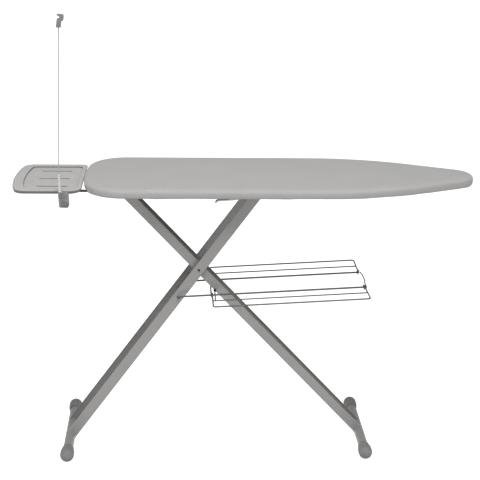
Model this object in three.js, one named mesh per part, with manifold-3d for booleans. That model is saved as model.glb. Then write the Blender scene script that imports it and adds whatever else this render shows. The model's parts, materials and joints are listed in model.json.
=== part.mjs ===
// Ironing board on a crossed-channel leg frame, with an iron rest, a cord holder and a fold-up laundry rack.
// Millimetres, +Z up, X along the board (nose towards +X, iron rest towards -X), Y across it.
// Everything is first placed from the middle of the board's length at floor level, and the last lines
// shift it so that the origin is the middle of the whole object's footprint.
import * as THREE from "three";
import { mergeVertices } from "three/addons/utils/BufferGeometryUtils.js";
import Module from "manifold-3d";

const wasm = await Module();
wasm.setup();

// ---------------------------------------------------------------- driving dimensions

const DEG = Math.PI / 180;
const GAP = 0.3;                       // room between pieces that touch

// Board: straight sides, a rounded square heel and a tapered round nose
const HALF_LENGTH = 620;
const HALF_WIDTH = 205;
const TOP_Z = 924;
const COVER_DEPTH = 27;
const SHOULDER_X = 110;                // where the straight sides start to taper
const SHOULDER_R = 760;
const TAPER = 25.5 * DEG;
const HEEL_R = 900;
const HEEL_CORNER_R = 125;
const COVER_T = 2;
const HEM_WIDTH = 25;
const PAD_T = 8;
const SHEET_T = 1.5;
const SHEET_TOP = TOP_Z - COVER_T - PAD_T - 2 * GAP;
const SHEET_UNDER = SHEET_TOP - SHEET_T;
const SHEET_INSET = 5;

// Legs: the crossing, the feet and the height of the two top pins
const CROSS = { x: -258.6, z: 612.4 };
const INNER_FOOT_X = 292;
const OUTER_FOOT_X = -685;
const TOP_PIN_Z = 874;
const CAP_R = 22.5;
const CAP_SIDES = 24;
const TUBE_R = 16;
const TUBE_T = 1.5;
const TUBE_HALF = 168;
const STEEL_T = 1.6;
const INNER = { half: 28, height: 30.5, lip: 5, end: 15 };
const OUTER = { half: 50, height: 34, lip: 5, end: 15 };
const OUTER_WINDOW = [-275, 45];       // stretch of the outer leg without a web, from the pivot
const PIN_R = 4;
const PIVOT_END = 51.6;                // the rack wings' tails pass just outside it
const AXLE_R = 5;
const BORE = 0.35;                     // radial room of a running bore

// Slide rails, shoes and height lock under the board
const RAIL_X = [-96, 232];
const RAIL_Y = [52, 70];
const RAIL_Z = [863.5, 890];
const SHOE = { length: 38, height: 16, y: [52.5, 67.8] };
const BAR = { y: [-64, -58], height: 8, length: 290 };
const SHAFT = { x: -109, z: 889, r: 3, y: [-157, -54] };
const LEVER_Y = [-156, -144];

// Rack of wire hung on the outer leg
const HOOK_FROM_PIVOT = 115;
const RACK_TILT = 3.1 * DEG;
const RACK_RISE = 9.5;                 // rail centres above the hook axis
const RACK_RAIL_Y = 70;
const RACK_LENGTH = 609;
const RACK_LEFT = 109.5;
const RACK_RIGHT = 605;
const WING_WIRES = [126, 183];
const WING_LIFT = 3.6;                 // the wings' outer wires stand above the rails
const TAIL_RISE = 26;                  // of the wings' left tails, above the rails
const RAIL_WIRE_R = 2.9;
const WING_WIRE_R = 2.4;
const WING_MIDDLE_R = 1.9;
const STAY = { x: -206, z: 535.6 };

// Iron rest and cord holder
const TRAY = { left: -840, right: -621, half: 158, top: 908, depth: 11.5, wall: 2.5 };
const TRAY_END_R = 700;
const TRAY_CORNER_R = 38;
const TRAY_INNER_R = 14;               // its rear corner beside the board
const RECESS = { left: -809, right: -636, half: 132, corner: 14, depth: 5 };
const SLOT = { x: [-763, -666], pitch: 90, width: 8 };
const ROD = { y: 105, z: 892, r: 4, x: [-806, -480] };
const HOLDER = { x: [-687, -657], y: [-178, -158.6], z: [859, 906] };
const ANTENNA = { x: -682, y: -168, z: 900, wireR: 1.4 };
const SLEEVE = { lean: -2 * DEG, height: 63 };
const WIRE = { lean: 1.7 * DEG, length: 436 };

// ---------------------------------------------------------------- materials

const finish = (color, roughness, metalness) =>
  new THREE.MeshStandardMaterial({ color, roughness, metalness });
const MATERIALS = {
  cover: finish(0xb0afad, 0.95, 0),
  felt: finish(0xd9d7d0, 1, 0),
  sheet: finish(0xc8c8c6, 0.5, 0.3),
  paint: finish(0x9a9997, 0.45, 0.4),
  zinc: finish(0xa8a8a8, 0.35, 0.9),
  wire: finish(0x8f8f8f, 0.35, 0.6),
  tray: finish(0xb6b5b2, 0.55, 0),
  plastic: finish(0x7f7f7f, 0.55, 0),
  dark: finish(0x2a2a2a, 0.6, 0),
  sleeve: finish(0xc4c4c2, 0.5, 0),
  nylon: finish(0xe2e0da, 0.5, 0),
};

// ---------------------------------------------------------------- solids and cuts

/** Signed volume of an indexed triangle mesh: positive when its faces point out. */
function signedVolume(positions, triangles) {
  const corner = (k) => new THREE.Vector3().fromArray(positions, 3 * triangles[k]);
  let sum = 0;
  for (let k = 0; k < triangles.length; k += 3) {
    sum += corner(k).dot(corner(k + 1).cross(corner(k + 2)));
  }
  return sum / 6;
}

/** A closed three.js geometry as a manifold solid, turned right side out if it is inside out. */
function solid(geometry) {
  const bare = geometry.clone();
  bare.deleteAttribute("normal");
  bare.deleteAttribute("uv");
  const merged = mergeVertices(bare, 1e-4);
  const positions = merged.attributes.position.array;
  const triangles = Uint32Array.from(merged.index.array);
  if (signedVolume(positions, triangles) < 0) {
    triangles.reverse();
  }
  const vertProperties = Float32Array.from(positions);
  return new wasm.Manifold(new wasm.Mesh({ numProp: 3, vertProperties, triVerts: triangles }));
}

/** A manifold solid as a three.js geometry. */
function geometryOf(body) {
  const { vertProperties, triVerts } = body.getMesh();
  const geometry = new THREE.BufferGeometry();
  geometry.setAttribute("position", new THREE.BufferAttribute(Float32Array.from(vertProperties), 3));
  geometry.setIndex(Array.from(triVerts));
  geometry.computeVertexNormals();
  return geometry;
}

/** The same solid on the other side of the board's middle plane. */
const mirrored = (body) => solid(geometryOf(body).scale(1, -1, 1));

/** The same solid shifted by x, y and z. */
const shifted = (body, x, y, z) => solid(geometryOf(body).translate(x, y, z));

const join = (...bodies) => bodies.reduce((all, one) => all.add(one));
const cut = (body, ...tools) => tools.reduce((left, tool) => left.subtract(tool), body);

/** Box between two corners, given as [low, high] in X, Y and Z. */
function block(x, y, z) {
  const geometry = new THREE.BoxGeometry(x[1] - x[0], y[1] - y[0], z[1] - z[0]);
  geometry.translate((x[0] + x[1]) / 2, (y[0] + y[1]) / 2, (z[0] + z[1]) / 2);
  return solid(geometry);
}

/** Plate with an outline in XY, from z[0] to z[1]. */
function plate(shape, z, curveSegments = 6) {
  const options = { depth: z[1] - z[0], bevelEnabled: false, curveSegments };
  const geometry = new THREE.ExtrudeGeometry(shape, options);
  geometry.translate(0, 0, z[0]);
  return solid(geometry);
}

/** Plate with an outline in XZ, from y[0] to y[1]. */
function sidePlate(shape, y, curveSegments = 6) {
  const options = { depth: y[1] - y[0], bevelEnabled: false, curveSegments };
  const geometry = new THREE.ExtrudeGeometry(shape, options);
  geometry.rotateX(Math.PI / 2);
  geometry.translate(0, y[1], 0);
  return solid(geometry);
}

/** Bar with a section in YZ, from x[0] to x[1]. */
function bar(section, x, curveSegments = 6) {
  const options = { depth: x[1] - x[0], bevelEnabled: false, curveSegments };
  const geometry = new THREE.ExtrudeGeometry(section, options);
  const across = new THREE.Vector3(0, 1, 0);
  const up = new THREE.Vector3(0, 0, 1);
  const along = new THREE.Vector3(1, 0, 0);
  geometry.applyMatrix4(new THREE.Matrix4().makeBasis(across, up, along));
  geometry.translate(x[0], 0, 0);
  return solid(geometry);
}

/** Cylinder along Y at (x, z). */
function crossPin(x, z, r, y, sides = 16) {
  const geometry = new THREE.CylinderGeometry(r, r, y[1] - y[0], sides);
  geometry.translate(x, (y[0] + y[1]) / 2, z);
  return solid(geometry);
}

/** Cylinder along Z at (x, y). */
function post(x, y, r, z, sides = 12) {
  const geometry = new THREE.CylinderGeometry(r, r, z[1] - z[0], sides);
  geometry.rotateX(Math.PI / 2);
  geometry.translate(x, y, (z[0] + z[1]) / 2);
  return solid(geometry);
}

/** Cylinder along X at (y, z). */
function longPin(y, z, r, x, sides = 12) {
  const geometry = new THREE.CylinderGeometry(r, r, x[1] - x[0], sides);
  geometry.rotateZ(Math.PI / 2);
  geometry.translate((x[0] + x[1]) / 2, y, z);
  return solid(geometry);
}

/** Turned piece about Y: profile points are [radius, y], and the ring closes on itself or on the axis. */
function turned(profile, sides = 24, quarter = 0) {
  const points = profile.map(([r, y]) => new THREE.Vector2(r, y));
  const geometry = new THREE.LatheGeometry(points, sides, quarter);
  return solid(geometry);
}

/** Closed polygon from a list of [a, b] points. */
const polygon = (points) => new THREE.Shape(points.map(([a, b]) => new THREE.Vector2(a, b)));

/** Rectangle with round corners. */
function roundedRectangle([x0, x1], [y0, y1], r) {
  const shape = new THREE.Shape();
  shape.absarc(x1 - r, y0 + r, r, -Math.PI / 2, 0, false);
  shape.absarc(x1 - r, y1 - r, r, 0, Math.PI / 2, false);
  shape.absarc(x0 + r, y1 - r, r, Math.PI / 2, Math.PI, false);
  shape.absarc(x0 + r, y0 + r, r, Math.PI, 1.5 * Math.PI, false);
  shape.closePath();
  return shape;
}

/** A wire's centre line: straight runs joined by bends of one radius, sampled only where it turns. */
class WirePath extends THREE.Curve {
  constructor(points, bend, stepsPerBend = 3) {
    super();
    const p = points.map((point) => new THREE.Vector3(...point));
    this.stations = [p[0]];
    for (let i = 1; i < p.length - 1; i += 1) {
      const back = p[i - 1].clone().sub(p[i]);
      const ahead = p[i + 1].clone().sub(p[i]);
      const turn = Math.PI - back.angleTo(ahead);
      const reach = Math.min(bend * Math.tan(turn / 2), 0.45 * Math.min(back.length(), ahead.length()));
      const start = p[i].clone().addScaledVector(back.normalize(), reach);
      const end = p[i].clone().addScaledVector(ahead.normalize(), reach);
      const curve = new THREE.QuadraticBezierCurve3(start, p[i], end);
      this.stations.push(...curve.getPoints(stepsPerBend));
    }
    this.stations.push(p[p.length - 1]);
  }

  get steps() {
    return this.stations.length - 1;
  }

  getPoint(t) {
    const k = Math.min(Math.floor(t * this.steps), this.steps - 1);
    return this.stations[k].clone().lerp(this.stations[k + 1], t * this.steps - k);
  }

  getPointAt(u) {
    return this.getPoint(u);
  }

  getTangentAt(u) {
    const k = Math.round(u * this.steps);
    const here = this.stations[k];
    const before = k > 0 ? here.clone().sub(this.stations[k - 1]).normalize() : new THREE.Vector3();
    const after = k < this.steps ? this.stations[k + 1].clone().sub(here).normalize() : new THREE.Vector3();
    return before.add(after).normalize();
  }
}

/** Bent round wire through the points, as one closed solid. */
function wire(points, r, bend = 8, sides = 8) {
  const path = new WirePath(points, bend);
  const circle = new THREE.Shape();
  circle.absarc(0, 0, r, 0, 2 * Math.PI, false);
  const options = { steps: path.steps, extrudePath: path, curveSegments: sides / 2, bevelEnabled: false };
  return solid(new THREE.ExtrudeGeometry(circle, options));
}

// ---------------------------------------------------------------- the object as a scene graph

const object = new THREE.Group();
const board = new THREE.Group();
object.add(board);

/** Adds one named piece to a group. */
function piece(parent, name, material, body) {
  const mesh = new THREE.Mesh(geometryOf(body), MATERIALS[material]);
  mesh.name = name;
  parent.add(mesh);
  return mesh;
}

// ---------------------------------------------------------------- board: cover, pad and sheet

/** The board's outline moved in by a distance: convex arcs keep their centres and lose that radius. */
function boardOutline(inset) {
  const straight = HALF_WIDTH - inset;
  const taperEnd = {
    x: SHOULDER_X + SHOULDER_R * Math.sin(TAPER),
    y: HALF_WIDTH - SHOULDER_R * (1 - Math.cos(TAPER)),
  };
  const apex = taperEnd.x + taperEnd.y / Math.tan(TAPER);
  const noseR = ((apex - HALF_LENGTH) * Math.sin(TAPER)) / (1 - Math.sin(TAPER));
  const lean = Math.PI / 2 - TAPER;
  const shoulderY = HALF_WIDTH - SHOULDER_R;
  const cornerY = HALF_WIDTH - HEEL_CORNER_R;
  const heelX = -HALF_LENGTH + HEEL_R;
  const cornerX = heelX - Math.sqrt((HEEL_R - HEEL_CORNER_R) ** 2 - cornerY ** 2);
  const meet = Math.atan2(cornerY, cornerX - heelX);
  const shape = new THREE.Shape();
  shape.absarc(HALF_LENGTH - noseR, 0, noseR - inset, -lean, lean, false);
  shape.absarc(SHOULDER_X, shoulderY, SHOULDER_R - inset, lean, Math.PI / 2, false);
  shape.lineTo(cornerX, straight);
  shape.absarc(cornerX, cornerY, HEEL_CORNER_R - inset, Math.PI / 2, meet, false);
  shape.absarc(heelX, 0, HEEL_R - inset, meet, 2 * Math.PI - meet, false);
  shape.absarc(cornerX, -cornerY, HEEL_CORNER_R - inset, 2 * Math.PI - meet, 1.5 * Math.PI, false);
  shape.lineTo(SHOULDER_X, -straight);
  shape.absarc(SHOULDER_X, -shoulderY, SHOULDER_R - inset, -Math.PI / 2, -lean, false);
  shape.closePath();
  return shape;
}

function cover() {
  const bottom = TOP_Z - COVER_DEPTH;
  const outside = plate(boardOutline(0), [bottom, TOP_Z], 8);
  const room = plate(boardOutline(COVER_T), [bottom + 1.5, TOP_Z - COVER_T], 8);
  const mouth = plate(boardOutline(HEM_WIDTH), [bottom - 1, bottom + 2], 8);
  return cut(outside, room, mouth);
}

function feltPad() {
  return plate(boardOutline(COVER_T + GAP), [SHEET_TOP + GAP, SHEET_TOP + GAP + PAD_T], 8);
}

/** Centres of the vent holes: a staggered grid that keeps clear of the rim and the fixings. */
function ventCentres() {
  const pitch = 62;
  const rim = 45;
  const outline = boardOutline(rim).getPoints(8);
  const inside = (x, y) => {
    let odd = false;
    outline.forEach((a, k) => {
      const b = outline[(k + 1) % outline.length];
      const crosses = a.y > y !== b.y > y && x < a.x + ((y - a.y) * (b.x - a.x)) / (b.y - a.y);
      odd = odd !== crosses;
    });
    return odd;
  };
  const overBracket = (x, y) => Math.abs(x - innerTop.x) < 50 && Math.abs(y) < 68;
  const besideRails = (y) => Math.abs(y) > 30 && Math.abs(y) < 90;
  const overRails = (x, y) => x > RAIL_X[0] - 60 && x < RAIL_X[1] + 20 && besideRails(y);
  const centres = [];
  for (let row = -3; row <= 3; row += 1) {
    for (let column = -9; column <= 9; column += 1) {
      const x = pitch * (column + (row % 2 ? 0.5 : 0));
      const y = (pitch * Math.sqrt(3) * row) / 2;
      if (inside(x, y) && !overBracket(x, y) && !overRails(x, y)) {
        centres.push([x, y]);
      }
    }
  }
  return centres;
}

function boardTop() {
  const shape = boardOutline(SHEET_INSET);
  ventCentres().forEach(([x, y]) => {
    const vent = new THREE.Path();
    vent.setFromPoints([0, 1, 2, 3, 4, 5].map((k) => {
      const angle = (k * Math.PI) / 3;
      return new THREE.Vector2(x + 9 * Math.cos(angle), y + 9 * Math.sin(angle));
    }));
    shape.holes.push(vent);
  });
  const rimBottom = TOP_Z - COVER_DEPTH + 2.5;
  const rim = cut(
    plate(boardOutline(SHEET_INSET), [rimBottom, SHEET_UNDER + 0.5]),
    plate(boardOutline(SHEET_INSET + SHEET_T), [rimBottom - 1, SHEET_TOP]),
  );
  const rivetHoles = rivetPlaces.map(([x, y]) => post(x, y, 2.8, [SHEET_UNDER - 1, SHEET_TOP + 1]));
  return cut(join(plate(shape, [SHEET_UNDER, SHEET_TOP]), rim), ...rivetHoles);
}

// ---------------------------------------------------------------- leg geometry

/** Direction and lengths of a leg that crosses at CROSS and stands at footX. */
function legLine(footX) {
  const dx = footX - CROSS.x;
  const dz = CAP_R - CROSS.z;
  const angle = Math.atan2(dz, dx);
  const rise = (TOP_PIN_Z - CROSS.z) / Math.abs(Math.sin(angle));
  return { angle, toFoot: Math.hypot(dx, dz), toTop: rise };
}
const innerLine = legLine(INNER_FOOT_X);
const outerLine = legLine(OUTER_FOOT_X);
const innerTop = { x: CROSS.x - innerLine.toTop * Math.cos(innerLine.angle), z: TOP_PIN_Z };
const outerTop = { x: CROSS.x - outerLine.toTop * Math.cos(outerLine.angle), z: TOP_PIN_Z };
const rivetPlaces = [-18, 18].flatMap((dx) => [-46, 46].map((y) => [innerTop.x + dx, y]));

/** Group whose origin is the crossing and whose +X runs down the leg to its foot. */
function legGroup(line) {
  const group = new THREE.Group();
  group.position.set(CROSS.x, 0, CROSS.z);
  group.rotation.y = -line.angle;
  board.add(group);
  return group;
}

/** A point of the object given in the leg's own frame as [along, normal]. */
function inLeg(line, { x, z }) {
  const [dx, dz] = [x - CROSS.x, z - CROSS.z];
  const [c, s] = [Math.cos(line.angle), Math.sin(line.angle)];
  return [dx * c + dz * s, -dx * s + dz * c];
}

/** Section of a lipped channel in YZ, with its web at z = web * height / 2. */
function channelSection({ half, height, lip }, web) {
  const h = height / 2;
  const t = STEEL_T;
  const points = [
    [-half, h], [half, h], [half, -h], [half - lip, -h], [half - lip, -h + t], [half - t, -h + t],
    [half - t, h - t], [-half + t, h - t], [-half + t, -h + t], [-half + lip, -h + t],
    [-half + lip, -h], [-half, -h],
  ];
  return polygon(points.map(([y, z]) => [y, web * z]));
}

/** Channel leg with its foot end cut to sit on the foot tube. */
function channelLeg(dims, line, web, extraCuts) {
  const body = bar(channelSection(dims, web), [-line.toTop - dims.end, line.toFoot - 6]);
  const saddle = crossPin(line.toFoot, 0, TUBE_R + GAP, [-dims.half - 1, dims.half + 1], 24);
  const bore = PIN_R + BORE;
  const pivotHole = crossPin(0, 0, bore, [-dims.half - 1, dims.half + 1]);
  return cut(body, saddle, pivotHole, ...extraCuts);
}

function footTube() {
  const inner = TUBE_R - TUBE_T;
  const [front, rear] = [-TUBE_HALF, TUBE_HALF];
  return turned([[inner, front], [TUBE_R, front], [TUBE_R, rear], [inner, rear], [inner, front]]);
}

/** Plastic foot cap towards +Y: a wide mouth round the tube, a bulb and a round end, flat facet down. */
function footCap() {
  const widen = 1 / Math.cos(Math.PI / CAP_SIDES);
  const mouth = 138;
  const centre = 180;
  const socket = TUBE_HALF + GAP;
  const profile = [
    [17.9, mouth], [20.3, mouth], [21.3, mouth + 6], [22.1, mouth + 16],
    [CAP_R, mouth + 24], [CAP_R, centre - 1],
  ];
  for (let k = 1; k <= 5; k += 1) {
    const angle = (k * Math.PI) / 10;
    profile.push([CAP_R * Math.cos(angle), centre - 1 + 23 * Math.sin(angle)]);
  }
  profile[profile.length - 1][0] = 0;
  const bore = TUBE_R + GAP;
  profile.push([0, socket], [bore, socket], [bore, mouth + 12], [17.9, mouth + 6], [17.9, mouth]);
  return turned(profile.map(([r, y]) => [r * widen, y]), CAP_SIDES, Math.PI / CAP_SIDES);
}

/** The foot of a leg: its tube and two caps, square to the leg at the floor. */
function foot(name, x) {
  const group = new THREE.Group();
  group.position.set(x, 0, CAP_R);
  board.add(group);
  piece(group, `${name}_foot_tube`, "paint", footTube());
  piece(group, `${name}_foot_cap_rear`, "plastic", footCap());
  const front = piece(group, `${name}_foot_cap_front`, "plastic", footCap());
  front.rotation.z = Math.PI;
}

// ---------------------------------------------------------------- inner and outer legs

function innerLeg() {
  const [along, normal] = inLeg(innerLine, STAY);
  const topHole = crossPin(-innerLine.toTop, 0, PIN_R + BORE, [-INNER.half - 1, INNER.half + 1]);
  const stayHole = crossPin(along, normal, 2.5, [-INNER.half - 1, INNER.half + 1], 12);
  return channelLeg(INNER, innerLine, -1, [topHole, stayHole]);
}

function outerLeg() {
  const h = OUTER.height / 2;
  const clear = OUTER.half - STEEL_T;
  const window = block(OUTER_WINDOW, [-clear, clear], [h - STEEL_T - 1, h + 1]);
  const axleHole = crossPin(-outerLine.toTop, 0, AXLE_R + BORE, [-OUTER.half - 1, OUTER.half + 1]);
  const hookHole = crossPin(HOOK_FROM_PIVOT, 0, RAIL_WIRE_R + BORE, [-OUTER.half - 1, OUTER.half + 1], 12);
  return channelLeg(OUTER, outerLine, 1, [window, axleHole, hookHole]);
}

/** Pivot bolt: a low round head with a hexagon socket in front, its end flush with the nut behind. */
function pivotBolt() {
  const shank = crossPin(0, 0, PIN_R, [-OUTER.half - 1, PIVOT_END]);
  const head = crossPin(0, 0, 6, [-PIVOT_END, -OUTER.half - GAP], 20);
  return cut(join(shank, head), crossPin(0, 0, 2.8, [-PIVOT_END - 1, -OUTER.half + 3], 6));
}

function pivotNut() {
  const disc = crossPin(0, 0, 6.5, [OUTER.half + GAP, PIVOT_END], 20);
  return cut(disc, crossPin(0, 0, PIN_R + GAP, [OUTER.half - 1, PIVOT_END + 1]));
}

function pivotSpacer() {
  const y = [INNER.half + GAP, OUTER.half - STEEL_T - GAP];
  return cut(crossPin(0, 0, 9, y, 20), crossPin(0, 0, PIN_R + GAP, [y[0] - 1, y[1] + 1]));
}

// ---------------------------------------------------------------- under the board

/** F-shaped slide rail on the +Y side: top flange on the sheet, two flanges round the shoe. */
function slideRail() {
  const [y0, y1] = RAIL_Y;
  const [z0, z1] = RAIL_Z;
  const t = 1.5;
  const top = SHEET_UNDER - GAP;
  return bar(polygon([
    [y0, z0], [y1, z0], [y1, top], [y0, top], [y0, top - t], [y1 - t, top - t], [y1 - t, z1],
    [y0, z1], [y0, z1 - t], [y1 - t, z1 - t], [y1 - t, z0 + t], [y0, z0 + t],
  ]), RAIL_X);
}

function shoe() {
  const half = SHOE.length / 2;
  const z = [TOP_PIN_Z - SHOE.height / 2, TOP_PIN_Z + SHOE.height / 2];
  const body = bar(roundedRectangle(SHOE.y, z, 2), [outerTop.x - half, outerTop.x + half], 2);
  return cut(body, crossPin(outerTop.x, TOP_PIN_Z, AXLE_R + BORE, [SHOE.y[0] - 1, SHOE.y[1] + 1]));
}

function heightBar() {
  const end = outerTop.x - SHOE.length / 2 - GAP;
  const z = [TOP_PIN_Z - BAR.height / 2, TOP_PIN_Z + BAR.height / 2];
  return block([end - BAR.length, end], BAR.y, z);
}

function hingeBracket() {
  const top = SHEET_UNDER - GAP;
  const inside = INNER.half + 1.6;
  const base = plate(roundedRectangle([innerTop.x - 28, innerTop.x + 28], [-54, 54], 6), [top - 2, top], 3);
  const ear = new THREE.Shape();
  ear.moveTo(innerTop.x - 22, top - 1);
  ear.lineTo(innerTop.x - 12, TOP_PIN_Z);
  ear.absarc(innerTop.x, TOP_PIN_Z, 12, Math.PI, 2 * Math.PI, false);
  ear.lineTo(innerTop.x + 22, top - 1);
  const ears = [-inside - 2, inside].map((y) => sidePlate(ear, [y, y + 2]));
  const bore = crossPin(innerTop.x, TOP_PIN_Z, PIN_R + BORE, [-50, 50]);
  const rivetHoles = rivetPlaces.map(([x, y]) => post(x, y, 2.8, [top - 3, top + 1]));
  return cut(join(base, ...ears), bore, ...rivetHoles);
}

function hingePin() {
  const reach = INNER.half + 1.6 + 2;
  const shank = crossPin(innerTop.x, TOP_PIN_Z, PIN_R, [-reach - 1, reach + 2.5]);
  return join(shank, crossPin(innerTop.x, TOP_PIN_Z, 7, [-reach - 2.8, -reach - GAP], 16));
}

function rivet([x, y]) {
  const under = SHEET_UNDER - GAP - 2;
  const head = post(x, y, 5, [under - 2.2, under - GAP], 12);
  return join(head, post(x, y, 2.4, [under - 1, SHEET_TOP - 0.1], 12));
}

function leverBracket(y) {
  const top = SHEET_UNDER - GAP;
  const web = block([SHAFT.x - 9, SHAFT.x + 9], [y - 1, y + 1], [SHAFT.z - 6, top]);
  const flange = block([SHAFT.x - 9, SHAFT.x + 9], [y - 1, y + 14], [top - 2, top]);
  return cut(join(web, flange), crossPin(SHAFT.x, SHAFT.z, SHAFT.r + BORE, [y - 2, y + 2]));
}

/** Close-wound return spring on the lever shaft: one ridge for each turn. */
function leverSpring() {
  const turns = 6;
  const pitch = 1.7;
  const start = -134;
  const outer = [];
  for (let k = 0; k < turns; k += 1) {
    outer.push([4.6, start + k * pitch], [5.5, start + (k + 0.5) * pitch]);
  }
  outer.push([4.6, start + turns * pitch]);
  const inner = SHAFT.r + 0.5;
  const profile = [[inner, start], ...outer, [inner, start + turns * pitch], [inner, start]];
  return shifted(turned(profile, 12), SHAFT.x, 0, SHAFT.z);
}

/** Flat handle with an eye on the shaft and a finger hook at its free end. */
function lever() {
  const t = 1.3;
  const root = SHAFT.x - 4;
  const handle = sidePlate(polygon([
    [root, SHAFT.z + t], [-150, 882 + t], [-200, 878.5 + t], [-210, 876.5 + t], [-214.5, 870.5],
    [-211.8, 869], [-208.6, 875 - t], [-199, 878.5 - t], [-150, 882 - t], [root, SHAFT.z - t],
  ]), LEVER_Y);
  const eye = crossPin(SHAFT.x, SHAFT.z, 6, LEVER_Y);
  const bore = crossPin(SHAFT.x, SHAFT.z, SHAFT.r + GAP, [LEVER_Y[0] - 1, LEVER_Y[1] + 1]);
  return cut(join(handle, eye), bore);
}

function lockPlate() {
  const x = [SHAFT.x + SHAFT.r + GAP, SHAFT.x + SHAFT.r + GAP + 2.4];
  const body = block(x, [BAR.y[0] - 4.5, BAR.y[1] + 4.5], [864.5, SHAFT.z + 4]);
  return cut(body, block([x[0] - 1, x[1] + 1], [BAR.y[0] - 1.2, BAR.y[1] + 1.2], [869, 884.5]));
}

// ---------------------------------------------------------------- laundry rack

const rackGroup = new THREE.Group();
rackGroup.position.set(
  CROSS.x + HOOK_FROM_PIVOT * Math.cos(outerLine.angle),
  0,
  CROSS.z + HOOK_FROM_PIVOT * Math.sin(outerLine.angle),
);
rackGroup.rotation.y = -RACK_TILT;
board.add(rackGroup);

/** Rail on the side with the given sign of Y: its left end hooks into the outer leg's flange. */
function rackRail(side) {
  return wire([
    [0, side * (OUTER.half - 4), 0],
    [0, side * (OUTER.half + 12), 0],
    [10, side * RACK_RAIL_Y, RACK_RISE],
    [RACK_LENGTH, side * RACK_RAIL_Y, RACK_RISE],
  ], RAIL_WIRE_R, 7);
}

/** Cross wire welded to the rails' right ends, with the jog that the front wing's tail lies in. */
function rackCrossWire() {
  const x = RACK_LENGTH + 2 + GAP;
  return wire([
    [x, -RACK_RAIL_Y - 3, RACK_RISE], [x, -30, RACK_RISE], [x + 4, -12, RACK_RISE],
    [x + 4, 48, RACK_RISE], [x, RACK_RAIL_Y + 3, RACK_RISE],
  ], 2, 6);
}

/** Wing of two long wires whose end wires turn on the rail in round eyes and end in tails. */
function rackWing(side) {
  const rail = side * RACK_RAIL_Y;
  const eyeR = RAIL_WIRE_R + BORE + 2 * WING_WIRE_R;
  const start = RACK_RAIL_Y + eyeR - 1;
  const [mid, outer] = WING_WIRES;
  const on = (x, y) => [x, side * y, RACK_RISE + WING_LIFT * (y - RACK_RAIL_Y) / (outer - RACK_RAIL_Y)];
  const corners = [on(RACK_LEFT, start), on(RACK_LEFT, outer), on(RACK_RIGHT, outer), on(RACK_RIGHT, start)];
  const loop = wire(corners, WING_WIRE_R, 9);
  const inner = wire([on(RACK_LEFT, mid), on(RACK_RIGHT, mid)], WING_MIDDLE_R);
  const tailStart = rail - side * (eyeR - 1);
  const tailEnd = side * (PIVOT_END + WING_WIRE_R + 0.9);
  const tail = (x, rise) => wire([[x, tailStart, RACK_RISE], [x, tailEnd, RACK_RISE + rise]], WING_WIRE_R);
  const eyes = [RACK_LEFT, RACK_RIGHT].map((x) => longPin(rail, RACK_RISE, eyeR, [x - 2.2, x + 2.2], 12));
  const bore = longPin(rail, RACK_RISE, RAIL_WIRE_R + BORE, [RACK_LEFT - 6, RACK_RIGHT + 6], 12);
  return cut(join(loop, inner, tail(RACK_LEFT, TAIL_RISE), tail(RACK_RIGHT, 0), ...eyes), bore);
}

/** Peg that stands out of the inner leg and carries a rack rail. */
function rackStay(side) {
  const out = STAY.x - rackGroup.position.x;
  const railZ = rackGroup.position.z + RACK_RISE + out * Math.tan(RACK_TILT);
  const rest = railZ - RAIL_WIRE_R - 2 - 2 * GAP;
  return wire([
    [STAY.x, side * (INNER.half - 4), STAY.z], [STAY.x, side * (INNER.half + 9), STAY.z],
    [STAY.x, side * 56, rest], [STAY.x, side * 77, rest], [STAY.x, side * 86, rest - 8],
  ], 2, 5);
}

function stayPlug(side) {
  const y = [INNER.half + GAP, INNER.half + 5].map((v) => side * v).sort((a, b) => a - b);
  const bore = crossPin(STAY.x, STAY.z, 2 + GAP, [y[0] - 1, y[1] + 1], 12);
  return cut(crossPin(STAY.x, STAY.z, 4.6, y, 12), bore);
}

// ---------------------------------------------------------------- iron rest

/** Outline with a bowed left end and round corners, moved in by a distance. */
function bowedOutline({ left, right, half }, corner, frontR, rearR, inset) {
  const endX = left + TRAY_END_R;
  const cornerY = half - corner;
  const cornerX = endX - Math.sqrt((TRAY_END_R - corner) ** 2 - cornerY ** 2);
  const meet = Math.atan2(cornerY, cornerX - endX);
  const shape = new THREE.Shape();
  shape.absarc(right - frontR, -half + frontR, frontR - inset, -Math.PI / 2, 0, false);
  shape.absarc(right - rearR, half - rearR, rearR - inset, 0, Math.PI / 2, false);
  shape.absarc(cornerX, cornerY, corner - inset, Math.PI / 2, meet, false);
  shape.absarc(endX, 0, TRAY_END_R - inset, meet, 2 * Math.PI - meet, false);
  shape.absarc(cornerX, -cornerY, corner - inset, 2 * Math.PI - meet, 1.5 * Math.PI, false);
  shape.closePath();
  return shape;
}

const trayOutline = (inset) => bowedOutline(TRAY, TRAY_CORNER_R, TRAY_CORNER_R, TRAY_INNER_R, inset);
const recessOutline = (inset) => bowedOutline(RECESS, RECESS.corner, RECESS.corner, RECESS.corner, inset);

const rodPlaces = [-ROD.y, ROD.y];
const saddleX = [[-792, -774], [-662, -644]];
const screwPlaces = saddleX.flatMap(([a, b]) => [-1, 1].map((side) => [(a + b) / 2, side * (ROD.y - 14)]));

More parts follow.
